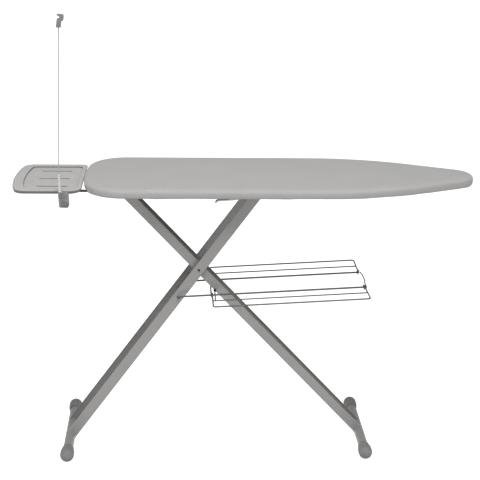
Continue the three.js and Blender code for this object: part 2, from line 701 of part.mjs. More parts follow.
function ironTray() {
  const { top, depth, wall } = TRAY;
  const bottom = top - depth;
  const floorTop = top - RECESS.depth;
  const rimRoom = cut(
    plate(trayOutline(wall), [bottom - 1, top - wall], 5),
    plate(recessOutline(-wall), [bottom - 2, top + 1], 5),
  );
  const recess = plate(recessOutline(0), [floorTop, top + 1], 5);
  const underFloor = plate(trayOutline(wall), [bottom - 1, floorTop - wall], 5);
  const shell = cut(plate(trayOutline(0), [bottom, top], 5), recess, rimRoom, underFloor);
  const slots = [-1, 0, 1].map((k) => {
    const y = k * SLOT.pitch;
    const half = SLOT.width / 2;
    return plate(roundedRectangle(SLOT.x, [y - half, y + half], half - 0.01), [bottom, top], 3);
  });
  const saddles = saddleX.flatMap((x) => [-1, 1].map((side) => {
    const y = [side * (ROD.y + 7), side * (ROD.y - 20)].sort((a, b) => a - b);
    return block(x, y, [ROD.z - 6, floorTop - wall + 0.5]);
  }));
  const bores = rodPlaces.map((y) => longPin(y, ROD.z, ROD.r + GAP, [TRAY.left, TRAY.right + 10]));
  const screwHoles = screwPlaces.map(([x, y]) => post(x, y, 2.1, [ROD.z - 8, floorTop - 1]));
  return cut(join(shell, ...saddles), ...slots, ...bores, ...screwHoles);
}

const trayRod = (y) => longPin(y, ROD.z, ROD.r, ROD.x);

function trayScrew([x, y]) {
  const under = ROD.z - 6;
  const head = post(x, y, 4, [under - 2.5, under - GAP]);
  return join(head, post(x, y, 1.7, [under - 1, TRAY.top - RECESS.depth - 1.5]));
}

/** Strap that hangs a tray rod from the board's sheet. */
function rodClip(x, y) {
  const top = SHEET_UNDER - GAP;
  const r = ROD.r + GAP;
  const t = 1.5;
  const strap = new THREE.Shape();
  strap.moveTo(y - r - t - 8, top);
  strap.lineTo(y - r - t - 8, top - t);
  strap.lineTo(y - r - t, top - t);
  strap.absarc(y, ROD.z, r + t, Math.PI, 2 * Math.PI, false);
  strap.lineTo(y + r + t, top - t);
  strap.lineTo(y + r + t + 8, top - t);
  strap.lineTo(y + r + t + 8, top);
  strap.lineTo(y + r, top);
  strap.absarc(y, ROD.z, r, 0, -Math.PI, true);
  strap.lineTo(y - r, top);
  strap.closePath();
  return bar(strap, [x - 8, x + 8]);
}

// ---------------------------------------------------------------- cord holder

const screwAt = { x: -673, z: 871 };

/** Socket block in front of the tray's skirt, with a jaw that hooks under and behind the skirt. */
function cordHolder() {
  const { x, y, z } = HOLDER;
  const r = 6;
  const front = new THREE.Shape();
  front.moveTo(x[0], z[1]);
  front.lineTo(x[0] + 1.5, z[0] + r + 2);
  front.absarc(x[0] + 1.5 + r, z[0] + r, r, Math.PI, 1.5 * Math.PI, false);
  front.absarc(x[1] + 1.5 - r, z[0] + r, r, 1.5 * Math.PI, 2 * Math.PI, false);
  front.lineTo(x[1], z[1]);
  front.closePath();
  const skirtBottom = TRAY.top - TRAY.depth;
  const skirtInside = -TRAY.half + TRAY.wall;
  const jaw = block([x[0] + 3, x[1] - 3], [y[1] - 1, skirtInside + 4], [skirtBottom - 8, skirtBottom - GAP]);
  const behind = [skirtInside + GAP, skirtInside + 4];
  const upstand = block([x[0] + 3, x[1] - 3], behind, [skirtBottom - 1, skirtBottom + 3]);
  const socket = post(ANTENNA.x, ANTENNA.y, 5.6, [ANTENNA.z - GAP, z[1] + 1], 16);
  const screwHole = crossPin(screwAt.x, screwAt.z, 2.4, [y[0] - 1, y[1] - 3], 12);
  return cut(join(sidePlate(front, y, 4), jaw, upstand), socket, screwHole);
}

function holderScrew() {
  const y = HOLDER.y[0];
  const head = crossPin(screwAt.x, screwAt.z, 4.5, [y - 2, y - GAP], 14);
  const shank = crossPin(screwAt.x, screwAt.z, 2, [y - 1, y + 13], 12);
  const slot = block([screwAt.x - 5, screwAt.x + 5], [y - 3, y - 1.1], [screwAt.z - 0.6, screwAt.z + 0.6]);
  return cut(join(head, shank), slot);
}

function antennaSleeve() {
  const h = SLEEVE.height;
  const points = [[0, 0], [5.2, 0], [5.2, 8], [4.6, 12], [3.2, h], [0, h]];
  const geometry = new THREE.LatheGeometry(points.map(([r, y]) => new THREE.Vector2(r, y)), 14);
  return solid(geometry.rotateX(Math.PI / 2));
}

function antennaWire() {
  return post(0, 0, ANTENNA.wireR, [2 * GAP, WIRE.length - GAP], 8);
}

/** Clip on top of the wire: a leaning stem and a head with a notch for the iron's cord. */
function cordClip() {
  const clip = new THREE.Shape();
  clip.moveTo(-7, 0);
  clip.lineTo(6.5, 0);
  clip.lineTo(8, 17.5);
  clip.lineTo(13, 20);
  clip.quadraticCurveTo(15.5, 28, 14.5, 34);
  clip.quadraticCurveTo(13.5, 38, 9.5, 38);
  clip.lineTo(-3.5, 38);
  clip.quadraticCurveTo(-6, 36.5, -4, 33.5);
  clip.lineTo(-1, 33.2);
  clip.absarc(-1, 29.5, 3.7, Math.PI / 2, -Math.PI / 2, true);
  clip.lineTo(-4.5, 24.5);
  clip.closePath();
  return shifted(sidePlate(clip, [-6, 6], 3), 0, 0, WIRE.length);
}

// ---------------------------------------------------------------- assembly

piece(board, "cover", "cover", cover());
piece(board, "felt_pad", "felt", feltPad());
piece(board, "board_top", "sheet", boardTop());
piece(board, "hinge_bracket", "paint", hingeBracket());
piece(board, "hinge_pin", "zinc", hingePin());
rivetPlaces.forEach((place, k) => piece(board, `bracket_rivet_${k + 1}`, "zinc", rivet(place)));

piece(board, "slide_rail_rear", "paint", slideRail());
piece(board, "slide_rail_front", "paint", mirrored(slideRail()));

piece(board, "shoe_rear", "nylon", shoe());
piece(board, "shoe_front", "nylon", mirrored(shoe()));
piece(board, "height_bar", "zinc", heightBar());
piece(board, "lever_bracket_outer", "paint", leverBracket(-138));
piece(board, "lever_bracket_inner", "paint", leverBracket(-80));
piece(board, "lever_spring", "zinc", leverSpring());
piece(board, "lever_shaft", "zinc", crossPin(SHAFT.x, SHAFT.z, SHAFT.r, SHAFT.y, 12));
piece(board, "height_lever", "zinc", lever());
piece(board, "lock_plate", "zinc", lockPlate());

piece(board, "iron_tray", "tray", ironTray());
piece(board, "tray_rod_front", "dark", trayRod(-ROD.y));
piece(board, "tray_rod_rear", "dark", trayRod(ROD.y));
[[-560, -1], [-500, -1], [-560, 1], [-500, 1]].forEach(([x, side], k) => {
  piece(board, `rod_clip_${k + 1}`, "zinc", rodClip(x, side * ROD.y));
});
screwPlaces.forEach((place, k) => piece(board, `tray_screw_${k + 1}`, "zinc", trayScrew(place)));
piece(board, "cord_holder", "plastic", cordHolder());
piece(board, "holder_screw", "plastic", holderScrew());

const sleeveGroup = new THREE.Group();
sleeveGroup.position.set(ANTENNA.x, ANTENNA.y, ANTENNA.z);
sleeveGroup.rotation.y = SLEEVE.lean;
board.add(sleeveGroup);
piece(sleeveGroup, "antenna_sleeve", "sleeve", antennaSleeve());
const antenna = new THREE.Group();
antenna.position.z = SLEEVE.height;
antenna.rotation.y = WIRE.lean - SLEEVE.lean;
sleeveGroup.add(antenna);
piece(antenna, "antenna_wire", "sleeve", antennaWire());
piece(antenna, "cord_clip", "plastic", cordClip());

const innerGroup = legGroup(innerLine);
piece(innerGroup, "inner_leg", "paint", innerLeg());
foot("inner", INNER_FOOT_X);
piece(board, "rack_stay_front", "dark", rackStay(-1));
piece(board, "rack_stay_rear", "dark", rackStay(1));
piece(board, "stay_plug_front", "dark", stayPlug(-1));
piece(board, "stay_plug_rear", "dark", stayPlug(1));

const outerGroup = legGroup(outerLine);
piece(outerGroup, "outer_leg", "paint", outerLeg());
piece(outerGroup, "pivot_bolt", "dark", pivotBolt());
piece(outerGroup, "pivot_nut", "zinc", pivotNut());
piece(outerGroup, "pivot_spacer_rear", "nylon", pivotSpacer());
piece(outerGroup, "pivot_spacer_front", "nylon", mirrored(pivotSpacer()));
const topAxle = crossPin(-outerLine.toTop, 0, AXLE_R, [-SHOE.y[1], SHOE.y[1]], 20);
piece(outerGroup, "top_axle", "zinc", topAxle);
foot("outer", OUTER_FOOT_X);

piece(rackGroup, "rack_rail_front", "wire", rackRail(-1));
piece(rackGroup, "rack_rail_rear", "wire", rackRail(1));
piece(rackGroup, "rack_cross_wire", "wire", rackCrossWire());
piece(rackGroup, "rack_wing_front", "wire", rackWing(-1));
piece(rackGroup, "rack_wing_rear", "wire", rackWing(1));

// the footprint's middle lies halfway between the tray's end and the nose
board.position.x = -(TRAY.left + HALF_LENGTH) / 2;

export default object;
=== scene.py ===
"""Folding ironing board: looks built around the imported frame, one section for each piece."""

import json
import math

import bmesh
import bpy
import numpy as np
from mathutils import Matrix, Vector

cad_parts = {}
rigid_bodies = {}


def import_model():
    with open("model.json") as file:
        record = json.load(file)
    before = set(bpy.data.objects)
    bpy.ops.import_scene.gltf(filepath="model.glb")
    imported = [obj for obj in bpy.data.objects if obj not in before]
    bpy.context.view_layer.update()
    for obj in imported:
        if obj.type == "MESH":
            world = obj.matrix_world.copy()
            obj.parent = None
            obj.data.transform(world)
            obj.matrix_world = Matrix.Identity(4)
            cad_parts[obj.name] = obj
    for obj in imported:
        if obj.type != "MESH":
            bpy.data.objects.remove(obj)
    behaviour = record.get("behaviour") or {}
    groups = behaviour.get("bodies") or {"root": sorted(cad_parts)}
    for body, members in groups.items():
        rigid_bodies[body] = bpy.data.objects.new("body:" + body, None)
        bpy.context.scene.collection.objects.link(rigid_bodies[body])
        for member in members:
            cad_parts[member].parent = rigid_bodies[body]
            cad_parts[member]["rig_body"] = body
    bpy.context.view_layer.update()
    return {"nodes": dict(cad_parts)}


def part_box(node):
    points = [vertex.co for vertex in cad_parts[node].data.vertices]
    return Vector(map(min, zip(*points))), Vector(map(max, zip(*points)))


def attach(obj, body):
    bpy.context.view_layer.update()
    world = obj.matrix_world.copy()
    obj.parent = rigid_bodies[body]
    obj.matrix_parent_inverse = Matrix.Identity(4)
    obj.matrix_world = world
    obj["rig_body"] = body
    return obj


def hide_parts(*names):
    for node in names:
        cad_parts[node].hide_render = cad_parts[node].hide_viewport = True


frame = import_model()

MM = 0.001

# ------------------------------------------------------------------ view and studio
# A small studio: a wide white floor, a dim sky and one very broad lamp overhead, a little in
# front. The camera stands above head height, 3.5 m in front of the board. The floor glows
# where it is seen at a low angle, and gives little light back to the underside of things.

EYE = np.array([-0.227, -3.502, 1.860])
PITCH, YAW, ROLL = np.radians([18.32, 3.46, 1.14])
LENS = 85.58

ahead = np.array([math.sin(YAW) * math.cos(PITCH), math.cos(YAW) * math.cos(PITCH), -math.sin(PITCH)])
level = np.array([math.cos(YAW), -math.sin(YAW), 0.0])
above = np.cross(level, ahead)
to_right = math.cos(ROLL) * level + math.sin(ROLL) * above
to_top = math.cos(ROLL) * above - math.sin(ROLL) * level

scene = bpy.context.scene
camera = bpy.data.objects.new("camera", bpy.data.cameras.new("camera"))
camera.data.lens = LENS
camera.data.sensor_width = 36.0
axes = np.eye(4)
axes[:3, 0], axes[:3, 1], axes[:3, 2], axes[:3, 3] = to_right, to_top, -ahead, EYE
camera.matrix_world = Matrix(axes.tolist())
scene.collection.objects.link(camera)
scene.camera = camera
scene.view_settings.view_transform = "Standard"
scene.view_settings.look = "None"


def lamp(name, place, aim, size, watts):
    """Square area lamp at place, shining towards aim."""
    light = bpy.data.lights.new(name, "AREA")
    light.shape, light.size, light.energy = "SQUARE", size, watts
    lit = bpy.data.objects.new(name, light)
    back = np.array(place) - np.array(aim)
    back = back / np.linalg.norm(back)
    side = np.cross([0.0, 1.0, 0.01], back)
    side = side / np.linalg.norm(side)
    turn = np.eye(4)
    turn[:3, 0], turn[:3, 1], turn[:3, 2], turn[:3, 3] = side, np.cross(back, side), back, place
    lit.matrix_world = Matrix(turn.tolist())
    scene.collection.objects.link(lit)


lamp("overhead_lamp", (-0.2, -1.7, 3.7), (0.0, 0.0, 0.7), 2.8, 148)

world = bpy.data.worlds.new("studio_sky")
world.use_nodes = True
world.node_tree.nodes["Background"].inputs["Color"].default_value = (1.0, 1.0, 1.0, 1.0)
world.node_tree.nodes["Background"].inputs["Strength"].default_value = 0.34
scene.world = world

floor_mesh = bpy.data.meshes.new("floor")
floor_mesh.from_pydata([(-40, -40, 0), (40, -40, 0), (40, 40, 0), (-40, 40, 0)], [], [(0, 1, 2, 3)])
floor = bpy.data.objects.new("floor", floor_mesh)
floor.location.z = -0.0005
scene.collection.objects.link(floor)
pale = bpy.data.materials.new("pale_floor")
pale.use_nodes = True
pale_shader = pale.node_tree.nodes["Principled BSDF"]
pale_shader.inputs["Base Color"].default_value = (0.45, 0.45, 0.45, 1)
pale_shader.inputs["Roughness"].default_value = 1.0
pale_shader.inputs["Specular IOR Level"].default_value = 0.0
slant = pale.node_tree.nodes.new("ShaderNodeLayerWeight")
slant.inputs["Blend"].default_value = 0.5
glow = pale.node_tree.nodes.new("ShaderNodeValToRGB")
glow.color_ramp.elements[0].position, glow.color_ramp.elements[1].position = 0.25, 0.47
pale.node_tree.links.new(slant.outputs["Facing"], glow.inputs["Fac"])
pale.node_tree.links.new(glow.outputs["Color"], pale_shader.inputs["Emission Color"])
pale_shader.inputs["Emission Strength"].default_value = 0.95
floor_mesh.materials.append(pale)

# ------------------------------------------------------------------ cover
# Grey cotton cover drawn tight over the padded board and gathered underneath by a
# drawstring in its hem. The edge is round because the felt wraps a little over the sheet.

BOARD_X = 0.110                    # the board's middle, forward of the footprint's middle
BOARD = dict(half=620, width=205, shoulder_x=110, shoulder_r=760, taper=25.5, heel_r=900, corner_r=125)


def board_ring(inset):
    """Points and outward directions round the board, moved in by inset (mm). The outline is
    five pairs of tangent arcs and lines: nose, taper, shoulder, side, corner and heel. Every
    arc keeps its centre and loses the inset from its radius, so rings of any inset match
    point for point."""
    b = BOARD
    taper = math.radians(b["taper"])
    lean = math.pi / 2 - taper
    end_x = b["shoulder_x"] + b["shoulder_r"] * math.sin(taper)
    end_y = b["width"] - b["shoulder_r"] * (1 - math.cos(taper))
    apex = end_x + end_y / math.tan(taper)
    nose_r = (apex - b["half"]) * math.sin(taper) / (1 - math.sin(taper))
    corner_y = b["width"] - b["corner_r"]
    heel_x = b["heel_r"] - b["half"]
    corner_x = heel_x - math.sqrt((b["heel_r"] - b["corner_r"]) ** 2 - corner_y**2)
    meet = math.atan2(corner_y, corner_x - heel_x)
    shoulder_y = b["width"] - b["shoulder_r"]
    arcs = [
        (b["half"] - nose_r, 0, nose_r, -lean, lean, 40),
        (b["shoulder_x"], shoulder_y, b["shoulder_r"], lean, math.pi / 2, 44),
        (corner_x, corner_y, b["corner_r"], math.pi / 2, meet, 28),
        (heel_x, 0, b["heel_r"], meet, 2 * math.pi - meet, 24),
        (corner_x, -corner_y, b["corner_r"], 2 * math.pi - meet, 1.5 * math.pi, 28),
        (b["shoulder_x"], -shoulder_y, b["shoulder_r"], -math.pi / 2, -lean, 44),
    ]
    lines = [24, 56, 0, 0, 56, 24]
    ends = []
    for x, y, r, a0, a1, count in arcs:
        angle = np.linspace(a0, a1, count)
        way = np.stack([np.cos(angle), np.sin(angle)], 1)
        ends.append((np.array([x, y]) + (r - inset) * way, way))
    points, ways = [], []
    for k, (spots, way) in enumerate(ends):
        share = np.linspace(0, 1, lines[k] + 2)[1:-1, None]
        ahead_spot = ends[(k + 1) % len(ends)][0][0]
        joined = 0 if lines[k] else 1
        points += [spots[: len(spots) - joined], spots[-1] + share * (ahead_spot - spots[-1])]
        ways += [way[: len(way) - joined], np.repeat(way[-1:], lines[k], 0)]
    ring = np.concatenate(points) + np.array([BOARD_X / MM, 0])
    return ring * MM, np.concatenate(ways)


def quads(rows, columns, around=False):
    """Faces of a grid of points stored row by row, closed from last column to first if around."""
    row, column = np.meshgrid(np.arange(rows - 1), np.arange(columns - (not around)), indexing="ij")
    after = (column + 1) % columns
    here, below = row * columns, (row + 1) * columns
    return np.stack([here + column, here + after, below + after, below + column], -1).reshape(-1, 4)


def make(name, points, faces, finish, crease=35.0, coat=None):
    """Object at the origin from points in metres and faces. Doubles are merged, faces are
    turned outwards, and edges sharper than crease degrees stay sharp. coat is an optional
    three-number value for each point, kept as the attribute the cloth pattern reads."""
    mesh = bpy.data.meshes.new(name)
    mesh.from_pydata(np.asarray(points, float).tolist(), [], [list(map(int, f)) for f in faces])
    if coat is not None:
        lie = mesh.attributes.new("lie", "FLOAT_VECTOR", "POINT")
        lie.data.foreach_set("vector", np.ravel(coat).astype(np.float32))
    shape = bmesh.new()
    shape.from_mesh(mesh)
    bmesh.ops.remove_doubles(shape, verts=shape.verts, dist=2e-6)
    bmesh.ops.recalc_face_normals(shape, faces=shape.faces)
    shape.to_mesh(mesh)
    shape.free()
    mesh.polygons.foreach_set("use_smooth", np.ones(len(mesh.polygons), bool))
    mesh.set_sharp_from_angle(angle=math.radians(crease))
    mesh.materials.append(finish)
    made = bpy.data.objects.new(name, mesh)
    scene.collection.objects.link(made)
    return made


def fit(made, node, body):
    """Puts a piece in the place of a CAD node, if it has one and its body."""
    if node:
        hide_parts(node)
    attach(made, body)


class Signal:
    """One output of a shader node. Python sums and products with it add Math nodes."""

    def __init__(self, paint, socket):
        self.paint, self.socket = paint, socket

    def _math(self, operation, a, b):
        return self.paint.node("ShaderNodeMath", {"operation": operation}, {0: a, 1: b})

    def __add__(self, other):
        return self._math("ADD", self, other)

    def __rsub__(self, other):
        return self._math("SUBTRACT", other, self)

    def __mul__(self, other):
        return self._math("MULTIPLY", self, other)

    __radd__ = __add__
    __rmul__ = __mul__


class Paint:
    """A material under construction: its shader, and one method that adds any node."""

    def __init__(self, name, **sockets):
        self.material = bpy.data.materials.new(name)
        self.material.use_nodes = True
        self.tree = self.material.node_tree
        self.shader = self.tree.nodes["Principled BSDF"]
        self.set(**sockets)

    def set(self, **sockets):
        """Values or signals for the shader's sockets, named with _ for a space."""
        for key, value in sockets.items():
            self._fill(self.shader.inputs[key.replace("_", " ")], value)
        return self.material

    def _fill(self, socket, value):
        if isinstance(value, Signal):
            self.tree.links.new(value.socket, socket)
        elif isinstance(value, tuple) and len(value) == 3 and socket.type == "RGBA":
            socket.default_value = (*value, 1.0)
        else:
            socket.default_value = value

    def node(self, kind, settings, inputs, output=0):
        """Adds a node: settings first (ramp holds a colour ramp's stops), then its sockets."""
        added = self.tree.nodes.new(kind)
        for key, value in settings.items():
            if key == "ramp":
                for _ in value[2:]:
                    added.color_ramp.elements.new(0.5)
                for stop, (place, grey) in zip(added.color_ramp.elements, value):
                    stop.position, stop.color = place, (grey, grey, grey, 1)
            else:
                setattr(added, key, value)
        for key, value in inputs.items():
            self._fill(added.inputs[key], value)
        return Signal(self, added.outputs[output])

    def place(self, scale=(1.0, 1.0, 1.0), source=None):
        """Where on the piece: object coordinates, or a named attribute, times a scale."""
        if source:
            spot = self.node("ShaderNodeAttribute", {"attribute_name": source}, {}, output="Vector")
        else:
            spot = self.node("ShaderNodeTexCoord", {}, {}, output="Object")
        return self.node("ShaderNodeMapping", {}, {"Vector": spot, "Scale": scale})

    def noise(self, where, size, detail=3.0, rough=0.55):
        """Cloudy noise, about 0 to 1, whose blobs are size metres across."""
        inputs = {"Vector": where, "Scale": 1.0 / size, "Detail": detail, "Roughness": rough}
        return self.node("ShaderNodeTexNoise", {}, inputs, output="Fac")

    def between(self, share, low, high):
        """Mix of two colours by a share from 0 to 1."""
        return self.node("ShaderNodeMix", {"data_type": "RGBA"}, {0: share, 6: low, 7: high}, output=2)

    def ramp(self, value, *stops):
        return self.node("ShaderNodeValToRGB", {"ramp": stops}, {"Fac": value})

    def bump(self, height, depth, strength=1.0, under=None):
        inputs = {"Height": height, "Distance": depth, "Strength": strength}
        if under is not None:
            inputs["Normal"] = under
        return self.node("ShaderNodeBump", {}, inputs)


def grey(level, warm=0.0):
    """Linear colour of an sRGB grey level from 0 to 255, a little warmer if warm is above 0."""
    def line(v):
        v = v / 255
        return v / 12.92 if v < 0.04045 else ((v + 0.055) / 1.055) ** 2.4
    return (line(level + warm), line(level), line(level - warm))


def cotton():
    """Plain weave: two crossed sets of threads, each a raised cosine, lifted in turn like a
    chequerboard, over slow cloudy shading where the cloth is worn and washed."""
    paint = Paint("grey_cotton", Roughness=0.92, Sheen_Weight=0.25, Sheen_Roughness=0.5,
                  Specular_IOR_Level=0.25)
    cloth = paint.place(source="lie")
    pitch = 0.0009
    thread = {"Vector": cloth, "Scale": 0.314 / pitch, "Distortion": 0.6, "Detail": 1.0, "Detail Scale": 0.2}
    warp, weft = [paint.node("ShaderNodeTexWave", {"bands_direction": way, "wave_profile": "SIN"}, thread)
                  for way in "XY"]
    slub = paint.noise(paint.place((0.12, 1.0, 1.0), "lie"), 0.0022, 2.0)
    cloud = paint.noise(cloth, 0.11, 4.0)
    fleck = paint.noise(cloth, 0.006, 3.0)
    threads = warp * weft + (1 - warp) * (1 - weft)
    shade = cloud * 0.45 + fleck * 0.25 + slub * 0.2 + threads * 0.1
    paint.set(Base_Color=paint.between(paint.ramp(shade, (0.3, 0.0), (0.7, 1.0)), COTTON_DARK, COTTON_LIGHT))
    folds = paint.bump(cloud * 0.8 + fleck * 0.2, 0.0016, 0.6)
    return paint.set(Normal=paint.bump(threads + slub * 0.6, 0.00012, 0.7, folds))


COTTON_DARK, COTTON_LIGHT = grey(148, 1), grey(156, 1)
cotton_finish = cotton()

EDGE_RUN, EDGE_DROP = 16.0, 13.5       # the round top edge: how far in and down it reaches
EDGE_TUCK = 4.6                        # how far the side rolls in again below that
HEM_IN = 24.0
TOP_Z, HEM_Z = 924.0, 897.2


def cover_profile():
    """Insets, heights and developed lengths across the cover from the drawstring edge, out
    along the turned-under hem, up round the lower and the upper quarter-ellipse of the rolled
    edge and in across the top."""
    a = np.linspace(-np.pi / 2, 0, 12)
    b = np.linspace(0, np.pi / 2, 16)[1:]
    widest = TOP_Z - EDGE_DROP
    inset = np.concatenate([np.linspace(HEM_IN, EDGE_TUCK + 1.5, 9), EDGE_TUCK * (1 - np.cos(a)),
                            EDGE_RUN * (1 - np.cos(b)), [30, 42]])
    height = np.concatenate([np.full(9, HEM_Z), widest + (widest - HEM_Z) * np.sin(a),
                             widest + (EDGE_DROP - 0.3) * np.sin(b), [TOP_Z - 0.15, TOP_Z - 0.05]])
    run = np.concatenate([[0], np.cumsum(np.hypot(np.diff(inset), np.diff(height)))])
    return inset, height, run


def waves(turn, seed, counts, fall):
    """Smooth repeatable unevenness round the edge: a sum of sines of turn (0 to 1) with the
    given numbers of waves and seeded phases."""
    phase = np.random.default_rng(seed).uniform(0, 2 * np.pi, len(counts))
    parts = [np.sin(2 * np.pi * n * turn + p) / (k + 1) ** fall
             for k, (n, p) in enumerate(zip(counts, phase))]
    return np.sum(parts, 0) / len(counts) ** 0.5


def board_cover():
    """The cover as one sheet: rings of the board's outline at the profile's insets, then rings
    that close in on the middle line. Gathers lift the hem in folds that fade up the side."""
    inset, height, run = cover_profile()
    rings = [board_ring(i) for i in inset]
    flat = np.array([r[0] for r in rings])
    ways = rings[0][1]
    count = flat.shape[1]
    gap = np.linalg.norm(np.diff(flat[20], axis=0, append=flat[20][:1]), axis=1)
    turn = np.cumsum(gap) / gap.sum()
    gather = waves(turn, 3, [151, 187, 223, 97], 0.4)
    slow = waves(turn, 5, [9, 15, 23, 37, 51], 0.6)
    under = np.where(height < HEM_Z + 0.1, inset / HEM_IN, 0)
    depth = np.clip((TOP_Z - EDGE_DROP + 3 - height) / 12, 0, 1)
    pull = under[:, None] * 1.1 * (0.6 + 0.5 * gather)
    x = flat[..., 0]
    off_rods = np.clip((np.abs(flat[..., 1]) - 0.115) / 0.02, 0, 1)
    clear = np.maximum(np.clip((x + 0.47) / 0.06, 0, 1), off_rods)
    hang = 2.6 * clear + 2.6 * np.clip((x - 0.42) / 0.15, 0, 1)
    sag = depth[:, None] * (0.9 * slow + 0.12 * gather - hang)
    outward = depth[:, None] * (0.18 * gather + 0.5 * slow)
    points = np.zeros((len(inset), count, 3))
    points[..., :2] = flat + ways * outward[..., None] * MM
    points[..., 2] = (height[:, None] + pull + sag) * MM
    lie = np.zeros_like(points)
    lie[..., :2] = flat[-1] + ways * (run[-1] - run)[:, None, None] * MM
    spine = np.stack([np.clip(flat[-1][:, 0], -0.33, 0.62), np.zeros(count)], 1)
    share = (np.linspace(0, 1, 15)[1:] ** 1.1)[:, None, None]
    inner = flat[-1] + share * (spine - flat[-1])
    soft = np.sin(share[..., 0] * np.pi / 2)
    low = np.sin(inner[..., 0] * 23 + inner[..., 1] * 9) * np.sin(inner[..., 0] * 11 - inner[..., 1] * 31 + 1)
    rise = points[-1, :, 2] + soft * MM * (0.05 + 0.12 * low)
    top = np.concatenate([inner, rise[..., None]], -1)
    everything = np.concatenate([points, top])
    coat = np.concatenate([lie, np.concatenate([inner, np.zeros_like(rise)[..., None]], -1)])
    faces = quads(len(everything), count, True)
    made = make("board_cover", everything.reshape(-1, 3), faces, cotton_finish, 60, coat.reshape(-1, 3))
    thick = made.modifiers.new("cloth", "SOLIDIFY")
    thick.thickness, thick.offset = 0.0006, -1.0
    corner = everything.reshape(-1, 3)[faces]
    diagonals = np.cross(corner[:, 2] - corner[:, 0], corner[:, 3] - corner[:, 1])
    return made, everything[0], float(0.5 * np.linalg.norm(diagonals, axis=1).sum())


cover, hem_edge, cover_area = board_cover()
fit(cover, "cover", "board")


def tube_rings(path, radius, sides):
    """Circles of the given radii square to a path, in a frame carried along it without twist."""
    path = np.asarray(path, float)
    radius = np.broadcast_to(radius, len(path))
    way = np.gradient(path, axis=0)
    way = way / np.linalg.norm(way, axis=1)[:, None]
    first = np.cross(way[0], [0.31, 0.17, 0.93] if abs(way[0][2]) < 0.8 else [1, 0, 0])
    across = [first / np.linalg.norm(first)]
    for step in way[1:]:
        side = across[-1] - step * (across[-1] @ step)
        across.append(side / np.linalg.norm(side))
    across = np.array(across)
    beside = np.cross(way, across)
    angle = np.linspace(0, 2 * np.pi, sides, endpoint=False)
    circle = across[:, None] * np.cos(angle)[:, None] + beside[:, None] * np.sin(angle)[:, None]
    return path[:, None] + radius[:, None, None] * circle


def closed_tube(path, radius, sides):
    """Points and faces of a tube round a closed path: its last ring joins its first."""
    looped = np.concatenate([path, path[:1]])
    rings = tube_rings(looped, radius, sides)
    rings[-1] = rings[0]
    return rings.reshape(-1, 3), quads(len(rings), sides, True)


# the drawstring's casing: a rolled hem that the gathers pucker
casing_points, casing_faces = closed_tube(hem_edge + [0, 0, 0.0012], 0.0019, 10)
hem_casing = make("cover_hem_casing", casing_points, casing_faces, cotton_finish, 60, casing_points)
fit(hem_casing, None, "board")

# ------------------------------------------------------------------ felt pad
# A sheet of pressed felt, 8 mm thick, cut a little smaller than the cover and held by it.
# Its edge is squeezed round where the cover is drawn over it.


def felt_layer():
    """Rings of the board's outline: an edge that keeps just inside the cover's round one, and
    flat faces above and below that close in on the middle line."""
    low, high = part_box("felt_pad")
    heights = np.linspace(low.z + 0.0002, high.z - 0.0002, 9)
    climb = (heights / MM - (TOP_Z - EDGE_DROP)) / (EDGE_DROP - 0.3)
    edge = [board_ring(2.2 + EDGE_RUN * (1 - math.sqrt(1 - c**2)))[0] for c in climb]
    spine = np.stack([np.clip(edge[0][:, 0], -0.33, 0.62), 0 * edge[0][:, 0]], 1)
    below = [edge[0] + s * (spine - edge[0]) for s in (1.0, 0.66, 0.33)]
    over = [edge[-1] + s * (spine - edge[-1]) for s in (0.33, 0.66, 1.0)]
    flats = below + edge + over
    tall = np.concatenate([[heights[0]] * 3, heights, [heights[-1]] * 3])
    levels = np.broadcast_to(tall[:, None, None], (len(flats), len(spine), 1))
    points = np.concatenate([np.array(flats), levels], -1)
    paint = Paint("pressed_felt", Roughness=1.0, Specular_IOR_Level=0.1, Sheen_Weight=0.3)
    fibre = paint.noise(paint.place((1.0, 2.4, 1.0)), 0.0014, 5.0, 0.7)
    tuft = paint.noise(paint.place(), 0.02, 3.0)
    paint.set(Base_Color=paint.between(fibre * 0.6 + tuft * 0.4, grey(190, 4), grey(226, 4)))
    finish = paint.set(Normal=paint.bump(fibre, 0.0006, 0.8))
    return make("felt_layer", points.reshape(-1, 3), quads(len(points), len(spine), True), finish, 60)


felt = felt_layer()
fit(felt, "felt_pad", "board")

# ------------------------------------------------------------------ steel of the board and legs
# Light grey stoved paint with a fine metallic grain on pressed steel. Dust dulls it in patches.


def stoved_paint(name, dark, light, roughness):
    """Two greys mixed by fine grain, with slow patches of duller paint and an orange-peel bump."""
    paint = Paint(name, Metallic=0.25, Specular_IOR_Level=0.45)
    where = paint.place()
    grain = paint.noise(where, 0.0016, 2.0, 0.7)
    patch = paint.noise(where, 0.09, 4.0)
    scuff = paint.noise(paint.place((1.0, 1.0, 0.25)), 0.012, 4.0, 0.65)
    shade = grain * 0.6 + patch * 0.25 + scuff * 0.15
    paint.set(Base_Color=paint.between(paint.ramp(shade, (0.34, 0.0), (0.66, 1.0)), dark, light))
    paint.set(Roughness=patch * 0.14 + scuff * 0.08 + (roughness - 0.11))
    return paint.set(Normal=paint.bump(grain * 0.5 + paint.noise(where, 0.004, 2.0) * 0.5, 0.00025, 0.35))


frame_finish = stoved_paint("frame_paint", grey(134, 1), grey(150, 1), 0.46)
sheet_finish = stoved_paint("sheet_paint", grey(182, 1), grey(196, 1), 0.45)


def dress(node, finish):
    """Puts a finish on a CAD node that stays as it is."""
    slots = frame["nodes"][node].data.materials
    slots.clear()
    slots.append(finish)


dress("board_top", sheet_finish)

# ------------------------------------------------------------------ legs
# Two lipped channels roll-formed from 1.6 mm steel strip. The outer one has a long window in
# its web, so that the inner one can swing up between its flanges as the board folds.

